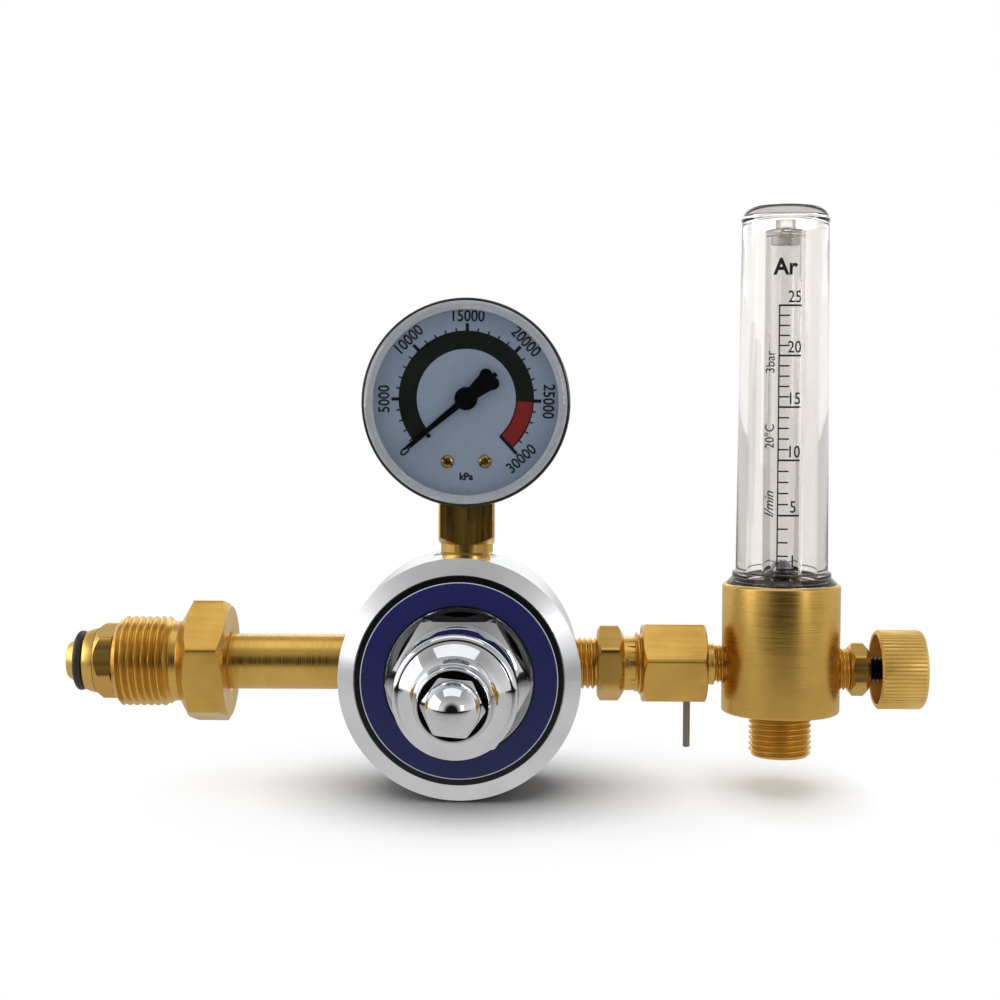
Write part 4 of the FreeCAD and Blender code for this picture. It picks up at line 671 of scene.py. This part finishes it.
class BuildBonnet(bpy.types.Operator):
    """Spring housing: hexagon, tower and the recess for the lock nut."""
    bl_idname = "regulator.bonnet"
    bl_label = "Bonnet"

    def execute(self, context):
        low = 14.0
        high = 30.0
        shoulder = 47.0
        front = -edge("bonnet", 0, 1)
        recess = 8.0
        tower = [(15.0, high), (15.0, high + 0.5), (14.7, shoulder - 1.5)]
        tower += arc((14.7, shoulder - 1.5), (14.25, shoulder - 0.45), (13.2, shoulder), 8)
        tower += arc((13.2, shoulder), (9.85, front - 6.85), (8.7, front - 2.0), 16)
        tower += arc((8.7, front - 2.0), (8.65, front - 1.0), (8.4, front - 0.15), 6)
        tower += [(8.25, front), (recess, front - 0.1), (recess, front - 0.6)]
        form = Form().grip(31.0, low, high, 0.0, 0, 0.97, 20.0, 0.3, first=12.0, skin=0)
        form.turn(eased(tower, 0.1), ring_angles(144))
        # The recess's wall and floor take the painted shade of the recess finish
        form.turn([(recess, front - 0.6), (recess, front - 5.0), (4.05, front - 5.0)], ring_angles(144),
                  skin=1)
        form.done("bonnet_shell", FRONT, body_axis(), "bonnet", "chrome", "recess")
        return {"FINISHED"}


class BuildLockNut(bpy.types.Operator):
    """Domed lock nut."""
    bl_idname = "regulator.lock_nut"
    bl_label = "Lock nut"

    def execute(self, context):
        radius = 6.2
        base = -edge("acorn_nut", 0, 1) - radius
        top = base - 0.75
        low = top - 8.0
        crown = [(r, base + z) for r, z in (polar(radius, 6 * i) for i in range(1, 16))]
        form = Form().grip(13.0, low, top, -5.5, trim=0.15, soft=1.4, first=4.05, skin=0)
        form.turn([(radius, top), (radius, base)] + crown, ring_angles(120))
        form.done("lock_nut", FRONT, body_axis(), "acorn_nut", "chrome")
        return {"FINISHED"}


# Contents gauge

def gauge_centre():
    """The middle of the gauge's case, in millimetres."""
    place = middle("gauge_dial")
    return Vector((place.x, 0.0, place.z))


class BuildGauge(bpy.types.Operator):
    """Case, window and stem of the contents gauge."""
    bl_idname = "regulator.gauge"
    bl_label = "Gauge case and window"

    def execute(self, context):
        back = -13.5
        front = 12.0
        radius = 26.0
        inside = radius - 0.8
        corner = 3.0
        eighth = 0.785       # of a turn, in radians
        case = [(0, back), (radius - corner, back)]
        case += arc(
            (radius - corner, back),
            (radius - corner + corner * math.sin(eighth), back + corner - corner * math.cos(eighth)),
            (radius, back + corner), 8)
        case += [(radius, front - 0.4), (radius - 0.12, front - 0.1), (radius - 0.4, front),
                 (inside + 0.12, front - 0.1), (inside, front - 0.4), (inside, back + corner),
                 (inside - 0.9, back + 0.9), (0, back + 0.8)]
        steps = ring_angles(160)
        Form().turn(case, steps).done("gauge_shell", FRONT, gauge_centre(), "gauge_case", "enamel")
        rim = 25.1
        sight = 22.9
        low = 8.03
        high = 15.5
        top = -edge("gauge_lens", 0, 1)
        under = high - 2.4
        pane = [(rim, under), (rim, high - 1.1)]
        pane += arc((rim, high - 1.1), (rim - 0.4, high - 0.35), (rim - 1.3, high), 8)
        pane += dome(rim - 1.3, high, top)
        pane += list(reversed(dome(sight, under, top - 2.0))) + [(sight, under)]
        # The skirt takes the pale finish, a painted highlight for the lit rim of the window
        skirt = [(sight, under - 0.05), (rim, under - 0.05), (rim, low), (sight, low)]
        form = Form().turn(pane, steps, closed=True).turn(skirt, steps, closed=True, skin=1)
        form.done("gauge_window", FRONT, gauge_centre(), "gauge_lens", "window", "rim_highlight")
        refinish("gauge_socket", "bar_z")
        return {"FINISHED"}


class PrintDial(bpy.types.Operator):
    """Bands, marks and numbers of the dial, and the finish of what stands on it."""
    bl_idname = "regulator.dial"
    bl_label = "Dial"

    def execute(self, context):
        sizes = settings("dial")
        for node, short in (("gauge_dial", "dial"), ("pointer", "black_steel"), ("stop_pin", "black_steel"),
                            ("dial_screws", "clock_brass")):
            refinish(node, short)

        def angle(value):
            return sizes.zero_angle - sizes.sweep * value / sizes.full_scale if value else sizes.rest_angle

        ends = (0, sizes.full_scale)
        red = angle(sizes.red_from)
        bands = Print()
        bands.band(sizes.band_inner, sizes.band_outer, angle(0), red, 120)
        bands.band(sizes.band_inner, sizes.band_outer, red, angle(sizes.full_scale), 30, 1)
        marks = Print()
        border = 0.17
        for radius in (sizes.band_inner, sizes.band_outer):
            marks.band(radius - border, radius + border, angle(0), angle(sizes.full_scale), 150)
        for value in range(0, sizes.full_scale + 1, sizes.mark_step):
            at = angle(value)
            low = sizes.band_inner if value in ends else sizes.band_outer
            high, width = (17.8, 0.4) if value % sizes.number_step else (18.8, 0.85)
            marks.line(polar(low, at), polar(high, at), width)
        for value in range(0, sizes.full_scale + 1, sizes.number_step):
            at = angle(value)
            turn = at + 90 if value in ends else at - 90
            marks.text(str(value), sizes.number_height, polar(sizes.number_radius, at), turn, 0.92, 0.06)
        marks.text("kPa", 1.7, (0.0, -19.6), weight=0.12)
        pivot = gauge_centre() + Vector((0, 0, 1.0))
        face = edge("gauge_dial", 0, 1)

        def wrap_at(lift):
            return lambda x, y: Vector((pivot.x + x, face - lift, pivot.z + y))

        bands.done("dial_bands", wrap_at(0.015), "gauge_dial", "green_ink", "red_ink")
        marks.done("dial_marks", wrap_at(0.03), "gauge_dial", "ink")
        return {"FINISHED"}


# Outlet and coupling

class BuildCoupling(bpy.types.Operator):
    """Outlet nipple, coupling nut, tail and locking pin."""
    bl_idname = "regulator.coupling"
    bl_label = "Coupling"

    def execute(self, context):
        sizes = settings("threads")
        bore = 2.5
        start = edge("outlet_nipple", 0, 0)
        end = edge("outlet_nipple", 1, 0)
        nut_low = end - 8.0
        neck_high = nut_low - 1.9
        neck_low = neck_high - 2.8
        hex_low = neck_low - 6.6
        crest = 6.58
        neck = 5.7
        form = Form().thread(sizes.port_pitch, crest, crest - 0.856, start, hex_low,
                             [(start, 5.6), (start + 1, crest), (hex_low - 0.7, crest), (hex_low - 0.1, neck),
                              (hex_low, neck)])
        form.grip(17.0, hex_low, neck_low, 31.8, 1.0, 0.88, 32.0, first=neck)
        neck = 6.9
        form.turn(eased([(7.4, neck_low), (neck, neck_low + 0.02), (neck, neck_high)]))
        crest = 7.9375
        form.thread(sizes.hose_pitch, crest, crest - 0.866, neck_high, end,
                    [(neck_high, neck), (neck_high + 0.5, crest), (end - 0.9, crest), (end, neck)])
        form.turn([(neck, end), (bore, end), (bore, start), (5.6, start)])
        form.done("outlet_adapter", RIGHT, ORIGIN, "outlet_nipple", "brass_x", "bar_x")
        nut_high = edge("coupling_nut", 1, 0)
        form = Form().grip(19.5, nut_low, nut_high, 50.5)
        form.turn([(9.45, nut_high)] + eased([
            (5.45, nut_high), (5.45, nut_high - 4), (7.99, nut_high - 4), (7.99, nut_low + 0.6),
            (8.59, nut_low), (9.45, nut_low)]))
        form.done("coupling_sleeve", RIGHT, ORIGIN, "coupling_nut", "brass_x", "bar_x")
        flange = edge("coupling_tail", 0, 0)
        tail_end = edge("coupling_tail", 1, 0)
        thread_low = nut_high + 2.4
        crest = 4.865
        form = Form().turn(eased([(bore, tail_end), (bore, flange), (6.8, flange), (6.8, flange + 3),
                                  (5.35, flange + 3), (5.35, thread_low - 0.3), (4.3, thread_low)]))
        form.thread(sizes.tail_pitch, crest, crest - 0.58, thread_low, tail_end,
                    [(thread_low, 4.25), (thread_low + 0.5, crest), (tail_end - 0.7, crest), (tail_end, 4.2)])
        form.done("tail_adapter", RIGHT, ORIGIN, "coupling_tail", "brass_x")
        refinish("steel_pin", "pin_steel")
        return {"FINISHED"}


# Flowmeter

def flow_axis():
    """A point on the float tube's axis, in millimetres."""
    return Vector((middle("float_ball").x, 0.0, 0.0))


class BuildFlowBody(bpy.types.Operator):
    """Block under the tube, with the hose thread."""
    bl_idname = "regulator.flow_body"
    bl_label = "Flow body"

    def execute(self, context):
        nose = edge("flow_body", 0, 2)
        top = edge("flow_body", 1, 2)
        bottom = nose + 11.3
        radius = 15.0
        bore = 4.0
        mouth = 6.95
        crest = 7.9375
        root = crest - 0.866
        relief = root - 0.05
        form = Form().turn(eased([(0, nose + 17.5), (bore, nose + 17.5), (bore, nose + 2.0), (6.0, nose),
                                  (mouth, nose)], 0.1))
        form.thread(settings("threads").hose_pitch, crest, root, nose, bottom,
                    [(nose, mouth), (nose + 0.95, crest), (bottom - 0.9, crest), (bottom - 0.1, relief),
                     (bottom, relief)])
        form.turn(eased([
            (relief, bottom), (radius - 0.5, bottom), (radius, bottom + 0.5), (radius, top - 0.5),
            (radius - 0.5, top), (11.45, top), (11.45, 10.0), (5.1, 10.0), (5.1, 7.0), (1.5, 7.0),
            (1.5, 0.0), (0.0, 0.0)], 0.2), ring_angles(128))
        form.done("flow_block", UP, flow_axis(), "flow_body", "brass_z")
        return {"FINISHED"}


# The cover's wall leans in from its foot, which ends this far above the flow body, to this far below its top
FOOT_HEIGHT = 3.2
FOOT_RADIUS = 11.7
HEAD_DEPTH = 4.8
HEAD_RADIUS = 10.95


class BuildCover(bpy.types.Operator):
    """Clear cover over the tube, and the tube with its tapered bore."""
    bl_idname = "regulator.cover"
    bl_label = "Cover and tube"

    def execute(self, context):
        seat = edge("flow_body", 1, 2)
        low = edge("flow_cover", 0, 2)
        high = edge("flow_cover", 1, 2)
        ring = high - 4.0
        ceiling = high - 3.5
        outside = eased([(9.2, low), (10.9, low), (11.4, low + 0.5), (11.4, seat), (14.0, seat),
                         (14.0, seat + 0.3), (12.55, seat + 1.7), (12.55, seat + 2.9),
                         (12.25, seat + FOOT_HEIGHT),
                         (FOOT_RADIUS, seat + FOOT_HEIGHT), (HEAD_RADIUS, high - HEAD_DEPTH), (11.2, ring),
                         (10.85, ring + 0.5)], 0.2)
        outside += arc((10.85, ring + 0.5), (9.65, high - 1.3), (7.35, high - 0.45), 8)
        outside += dome(7.35, high - 0.45, high, 6)
        inside = eased([(0.0, ceiling), (7.65, ceiling), (8.65, ceiling - 1), (9.2, low)], 0.6)
        Form().turn(outside + inside, ring_angles(128)).done(
            "flow_cover_shell", UP, flow_axis(), "flow_cover", "acrylic")
        foot = edge("metering_tube", 0, 2)
        head = edge("metering_tube", 1, 2)
        shelf = seat + 0.5
        radius = 5.0
        Form().turn(eased([
            (1.7, foot), (radius - 0.3, foot), (radius, foot + 0.3), (radius, head - 0.3),
            (radius - 0.3, head), (3.75, head), (3.1, shelf), (2.0, shelf), (1.7, shelf - 1.5),
            (1.7, foot)], 0.1)).done(
            "taper_tube", UP, flow_axis(), "metering_tube", "tube")
        refinish("tube_stop", "thin_nylon")
        refinish("float_ball", "steel")
        return {"FINISHED"}


class PrintFlowScale(bpy.types.Operator):
    """Flow scale printed on the front of the cover."""
    bl_idname = "regulator.flow_scale"
    bl_label = "Flow scale"

    def execute(self, context):
        sizes = settings("flow")
        top = sizes.top_mark
        # Litres a minute, and how far each numbered mark lies under the top one
        marks = {25: 0.0, 20: 12.4, 15: 25.15, 10: 38.35, 5: 52.1, 1: 65.6}
        heights = {}
        for (high, start), (low, end) in zip(list(marks.items()), list(marks.items())[1:]):
            for value in range(low, high + 1):
                heights[value] = top - (start + (end - start) * ((high - value) / (high - low)))
        small = 2.3
        line = -2.9
        scale = Print()
        scale.line((line, heights[25] + 0.24), (line, heights[1] - 0.24), 0.36)
        for value, height in heights.items():
            long, width = (5.4, 0.48) if value in marks else (2.6, 0.38)
            scale.line((line, height), (line + long, height), width)
            if value in marks:
                scale.text(str(value), sizes.number_height, (line + 3.8, height + 2.0), 0.0, 0.84, 0.04)
        scale.text("Ar", sizes.gas_height, (line + 1.4, top + 9.4), 0.0, 0.94, 0.16)
        for words, below, narrow, weight, lean in (
            ("3bar", 14.0, 0.95, 0.02, 0.0),
            ("20°C", 32.4, 0.9, 0.02, 0.0),
            ("l/min", 49.4, 1.0, 0.03, 0.35),
        ):
            scale.text(words, small, (line - 2.1, top - below), 90.0, narrow, weight, lean)
        axis = flow_axis()
        foot = edge("flow_body", 1, 2) + FOOT_HEIGHT
        head = edge("flow_cover", 1, 2) - HEAD_DEPTH
        draft = (FOOT_RADIUS - HEAD_RADIUS) / (head - foot)

        def wrap(x, y):
            radius = FOOT_RADIUS - draft * (y - foot) + 0.02
            turn = x / radius
            return Vector((axis.x + radius * math.sin(turn), -radius * math.cos(turn), y))

        scale.sliced(0.4)
        scale.done("flow_scale", wrap, "flow_cover", "ink")
        return {"FINISHED"}


class BuildValve(bpy.types.Operator):
    """Gland, threaded spindle and knurled knob."""
    bl_idname = "regulator.valve"
    bl_label = "Flow valve"

    def execute(self, context):
        pitch = settings("threads").valve_pitch
        place = (0.0, 0.0, middle("control_knob").z)
        start = edge("valve_gland", 0, 0)
        end = edge("valve_gland", 1, 0)
        bore = 3.25
        mouth = 4.7
        hex_low = end - 5.0
        crest = 5.3
        form = Form().thread(pitch, crest, crest - 0.6, start, hex_low + 0.4,
                             [(start, mouth), (start + 0.6, crest), (hex_low + 0.4, crest)])
        form.grip(12.0, hex_low, end, 25.6, 0.93, 0.87, 40.0, soft=1.5, first=mouth, last=bore)
        form.turn([(bore, end), (bore, start), (mouth, start)])
        form.done("gland", RIGHT, place, "valve_gland", "brass_x", "bar_x")
        tip = edge("needle_spindle", 0, 0)
        tail = edge("needle_spindle", 1, 0)
        stem = 2.4
        crest = 3.2
        thread_low = start + 1.1
        form = Form().turn(eased([(0, tip), (0.35, tip), (1.25, tip + 0.8), (2.3, tip + 1.1),
                                  (stem, tip + 1.3), (stem, thread_low)], 0.1))
        form.thread(pitch, crest, crest - 0.6, thread_low, tail,
                    [(thread_low, stem), (thread_low + 0.5, crest), (tail - 0.5, crest), (tail, 2.7)])
        form.turn([(2.7, tail), (0, tail)])
        form.done("spindle", RIGHT, place, "needle_spindle", "black_steel")
        low = edge("control_knob", 0, 0)
        high = edge("control_knob", 1, 0)
        ridges = 60
        outer = 10.1
        groove = 9.85
        # One ridge and groove of the knurling: where each point lies in the step, and its radius
        ridge = ((0.0, groove), (0.08, groove), (0.17, groove + 0.14), (0.27, outer), (0.77, outer),
                 (0.9, groove + 0.12))
        angles = [2 * math.pi * (i + share) / ridges for i in range(ridges) for share, radius in ridge]

        def knurl(limit, height):
            reach = {round(a, 6): min(limit, ridge[i % len(ridge)][1]) for i, a in enumerate(angles)}
            return lambda angle: (reach[round(angle, 6)], height)

        hollow = 8.9
        floor = low + 6.1
        form = Form().turn([
            (hollow, floor - 1), (hollow, low + 0.15), (9.05, low), (9.5, low), knurl(9.75, low + 0.2),
            knurl(outer, low + 0.5), knurl(outer, high - 1.1), knurl(9.98, high - 0.7),
            knurl(9.74, high - 0.35), (9.4, high - 0.1), (8.9, high), (8.2, high), (8.0, high - 0.12),
            (7.0, high - 0.12), (0.0, high - 0.12)], angles)
        form.turn(eased([(bore, high - 2.6), (bore, floor), (7.9, floor), (hollow, floor - 1)], 0.2))
        form.done("knurled_knob", RIGHT, place, "control_knob", "knurled", sharp=28.0)
        return {"FINISHED"}


class FinishInnerPieces(bpy.types.Operator):
    """Finishes of the pieces inside, which keep their CAD shapes."""
    bl_idname = "regulator.inner_pieces"
    bl_label = "Inner pieces"

    def execute(self, context):
        finished = ("regulator_body", "label_ring", "gauge_dial", "pointer", "stop_pin", "dial_screws",
                    "steel_pin", "float_ball", "gauge_socket", "tube_stop")
        for name, node in frame["nodes"].items():
            if name not in finished and not node.hide_render:
                refinish(name, BY_SLOT[SLOT_OF[name]])
        return {"FINISHED"}


# Stage

def unbent(tree, *kinds):
    """1 where a ray has made no bounce of these kinds so far."""
    path = add(tree, "ShaderNodeLightPath")
    bounces = [path.outputs[kind + " Depth"] for kind in kinds]
    total = bounces[0] if len(bounces) == 1 else add(
        tree, "ShaderNodeMath", {0: bounces[0], 1: bounces[1]}, operation="ADD").outputs["Value"]
    return add(tree, "ShaderNodeMath", {0: total, 1: 0.5}, operation="LESS_THAN").outputs["Value"]


def straight_ray(tree):
    """1 for what the camera sees, also through clear pieces."""
    path = add(tree, "ShaderNodeLightPath")
    seen = add(tree, "ShaderNodeMath", {
        0: path.outputs["Is Camera Ray"], 1: path.outputs["Is Transmission Ray"]}, operation="MAXIMUM")
    return add(tree, "ShaderNodeMath", {0: seen.outputs["Value"], 1: unbent(tree, "Glossy", "Diffuse")},
               operation="MULTIPLY").outputs["Value"]


def mirrored_ray(tree):
    """1 for what metal and glass mirror, also where the mirrored ray then leaves a clear piece."""
    path = add(tree, "ShaderNodeLightPath")
    gloss = add(tree, "ShaderNodeMath", {0: path.outputs["Glossy Depth"], 1: 1.0}, operation="MINIMUM")
    return add(tree, "ShaderNodeMath", {0: gloss.outputs["Value"], 1: unbent(tree, "Diffuse")},
               operation="MULTIPLY").outputs["Value"]


class SetStage(bpy.types.Operator):
    """Pale floor, soft lamps and a camera in front of the dial."""
    bl_idname = "regulator.stage"
    bl_label = "Stage"

    def execute(self, context):
        sizes = settings("studio")
        body = body_axis().x / 1000
        aim = Vector((body + sizes.aim_right, 0.0, sizes.aim_height))
        self.camera(sizes, aim)
        self.floor(CAD_BOX[0].z - 0.0005, aim.x, body)
        self.lamps(aim)
        self.world()
        context.scene.view_settings.view_transform = "Standard"
        return {"FINISHED"}

    def camera(self, sizes, aim):
        """The camera of the photograph."""
        az, el = math.radians(sizes.azimuth), math.radians(sizes.elevation)
        away = Vector((math.sin(az) * math.cos(el), -math.cos(az) * math.cos(el), math.sin(el)))
        lens = bpy.data.cameras.new("camera")
        lens.lens = sizes.focal
        lens.sensor_width = 36.0
        lens.clip_start = 0.01
        camera = bpy.data.objects.new("camera", lens)
        bpy.context.scene.collection.objects.link(camera)
        camera.location = aim + away * sizes.distance
        camera.rotation_mode = "QUATERNION"
        roll = Quaternion((0, 0, 1), math.radians(sizes.roll))
        camera.rotation_quaternion = (-away).to_track_quat("-Z", "Y") @ roll
        bpy.context.scene.camera = camera

    def floor(self, height, middle_x, body):
        """A pale sheet with the object's shadow, white further off, that metal mirrors as a dim table."""
        mesh = bpy.data.meshes.new("floor")
        corners = ((-1, -1), (1, -1), (1, 1), (-1, 1))
        mesh.from_pydata([(middle_x + x * 4, y * 4, height) for x, y in corners], [], [(0, 1, 2, 3)])
        floor = bpy.data.objects.new("floor", mesh)
        bpy.context.scene.collection.objects.link(floor)
        # Smooth white paper: matt, with a painted shadow under the body: grey in its colour, deepening the shadow
        # the body casts there
        material = bpy.data.materials.new("White paper sweep")
        material.use_nodes = True
        tree = material.node_tree
        tree.nodes.clear()
        place = add(tree, "ShaderNodeTexCoord").outputs["Object"]

        def oval(centre, flat, near, far):
            """0 in an oval round a point of the floor, 1 outside a wider one; flat below 1 deepens it."""
            offset = add(tree, "ShaderNodeVectorMath", {0: place, 1: (centre, 0.0, height)},
                         operation="SUBTRACT")
            scaled = add(tree, "ShaderNodeVectorMath", {0: offset.outputs["Vector"], 1: (1.0, flat, 1.0)},
                         operation="MULTIPLY")
            length = add(tree, "ShaderNodeVectorMath", {0: scaled.outputs["Vector"]}, operation="LENGTH")
            return add(tree, "ShaderNodeMapRange", {
                "Value": length.outputs["Value"], "From Min": near, "From Max": far}).outputs["Result"]

        # Painted shadow: grey in the middle of an oval under the body, fading out to the white of the paper
        grey = add(tree, "ShaderNodeMix", {
            "Factor": oval(body + 0.003, 1.0, 0.018, 0.058), "A": linear("#8a8a8a"), "B": linear("#f4f4f4"),
        }, data_type="RGBA")
        paper = add(tree, "ShaderNodeBsdfDiffuse", {"Color": grey.outputs["Result"]})
        white = add(tree, "ShaderNodeEmission", {"Color": linear("#ffffff"), "Strength": 1.0})
        fade = add(tree, "ShaderNodeMath", {
            0: oval(body + 0.002, 1.0, 0.02, 0.085), 1: oval(flow_axis().x / 1000, 0.5, 0.006, 0.024),
        }, operation="MULTIPLY")
        fac = add(tree, "ShaderNodeMath", {
            0: fade.outputs["Value"], 1: straight_ray(tree)}, operation="MULTIPLY")
        sheet = add(tree, "ShaderNodeMixShader", {
            0: fac.outputs["Value"], 1: paper.outputs["BSDF"], 2: white.outputs["Emission"]})
        split = add(tree, "ShaderNodeSeparateXYZ", {"Vector": place})
        front = add(tree, "ShaderNodeMapRange", {
            "Value": split.outputs["Y"], "From Min": -0.3, "From Max": -0.08})
        shade = add(tree, "ShaderNodeMix", {
            "Factor": front.outputs["Result"], "A": linear("#1a1817"), "B": linear("#d0cecb"),
        }, data_type="RGBA")
        table = add(tree, "ShaderNodeEmission", {"Color": shade.outputs["Result"], "Strength": 1.0})
        mix = add(tree, "ShaderNodeMixShader", {
            0: mirrored_ray(tree), 1: sheet.outputs["Shader"], 2: table.outputs["Emission"]})
        add(tree, "ShaderNodeOutputMaterial", {"Surface": mix.outputs["Shader"]})
        # What a ray meets depends on its bounces, so only rays that get there count, not samples aimed at it
        material.cycles.emission_sampling = "NONE"
        mesh.materials.append(material)

    def lamps(self, aim):
        """Soft boxes above, on the left and behind, and a small lamp on the right in front."""
        for name, place, size, power in (
            ("top box", (0.0, -0.1, 0.77), (0.9, 0.6), 1.25),
            ("left box", (-0.8, -0.1, 0.25), (0.9, 0.55), 2.8),
            ("right lamp", (0.5, -0.55, 0.12), (0.12, 0.2), 0.5),
            ("back box", (0.1, 0.8, 0.45), (0.8, 0.4), 1.2),
        ):
            light = bpy.data.lights.new(name, "AREA")
            light.shape = "RECTANGLE"
            light.size, light.size_y = size
            light.energy = power
            lamp = bpy.data.objects.new(name, light)
            bpy.context.scene.collection.objects.link(lamp)
            lamp.location = aim + Vector(place)
            lamp.rotation_mode = "QUATERNION"
            lamp.rotation_quaternion = (aim - lamp.location).to_track_quat("-Z", "Y")

    def world(self):
        """White where it is seen, even where it lights, and a pale tent with a dark front in metal."""
        world = bpy.data.worlds.new("studio")
        world.use_nodes = True
        tree = world.node_tree
        tree.nodes.clear()
        direction = add(tree, "ShaderNodeTexCoord").outputs["Generated"]
        split = add(tree, "ShaderNodeSeparateXYZ", {"Vector": direction})
        depth = add(tree, "ShaderNodeMapRange", {
            "Value": split.outputs["Y"], "From Min": -1.0, "From Max": 1.0})
        shade = add(tree, "ShaderNodeValToRGB", {"Fac": depth.outputs["Result"]})
        stops(shade, (0.04, "#1a1817"), (0.12, "#edebe8"), (0.55, "#edebe8"), (0.725, "#ffffff"))
        overhead = add(tree, "ShaderNodeMapRange", {
            "Value": split.outputs["Z"], "From Min": 0.15, "From Max": 0.8, "To Min": 1.0, "To Max": 0.5})
        tent = add(tree, "ShaderNodeBackground", {
            "Color": shade.outputs["Color"], "Strength": overhead.outputs["Result"]})
        fill = add(tree, "ShaderNodeBackground", {"Color": linear("#e7e7e7"), "Strength": 1.0})
        room = add(tree, "ShaderNodeMixShader", {
            0: mirrored_ray(tree), 1: fill.outputs["Background"], 2: tent.outputs["Background"]})
        white = add(tree, "ShaderNodeBackground", {"Color": linear("#ffffff"), "Strength": 1.0})
        mix = add(tree, "ShaderNodeMixShader", {
            0: straight_ray(tree), 1: room.outputs["Shader"], 2: white.outputs["Background"]})
        add(tree, "ShaderNodeOutputWorld", {"Surface": mix.outputs["Shader"]})
        world.cycles.sampling_method = "NONE"
        bpy.context.scene.world = world


OPERATORS = (
    SetStage, BuildBottleNut, BuildNose, BuildBody, BuildBonnet, BuildLockNut, BuildGauge, PrintDial,
    BuildCoupling, BuildFlowBody, BuildCover, PrintFlowScale, BuildValve, FinishInnerPieces,
)


class RegulatorPanel(bpy.types.Panel):
    """Lists the pieces in the order in which they are built."""
    bl_idname = "VIEW3D_PT_regulator"
    bl_label = "Flowmeter regulator"
    bl_space_type = "VIEW_3D"
    bl_region_type = "UI"
    bl_category = "Regulator"

    def draw(self, context):
        for operator in OPERATORS:
            self.layout.operator(operator.bl_idname)
        for name, group in GROUPS.items():
            box = self.layout.box()
            for prop in group.__annotations__:
                box.prop(settings(name), prop)


def register():
    for name, group in GROUPS.items():
        bpy.utils.register_class(group)
        setattr(bpy.types.Scene, "regulator_" + name, PointerProperty(type=group))
    for kind in OPERATORS + (RegulatorPanel,):
        bpy.utils.register_class(kind)


def unregister():
    for kind in reversed(OPERATORS + (RegulatorPanel,)):
        bpy.utils.unregister_class(kind)
    for name, group in reversed(GROUPS.items()):
        delattr(bpy.types.Scene, "regulator_" + name)
        bpy.utils.unregister_class(group)


def main():
    register()
    for operator in OPERATORS:
        family, name = operator.bl_idname.split(".")
        getattr(getattr(bpy.ops, family), name)()


if __name__ == "__main__":
    main()
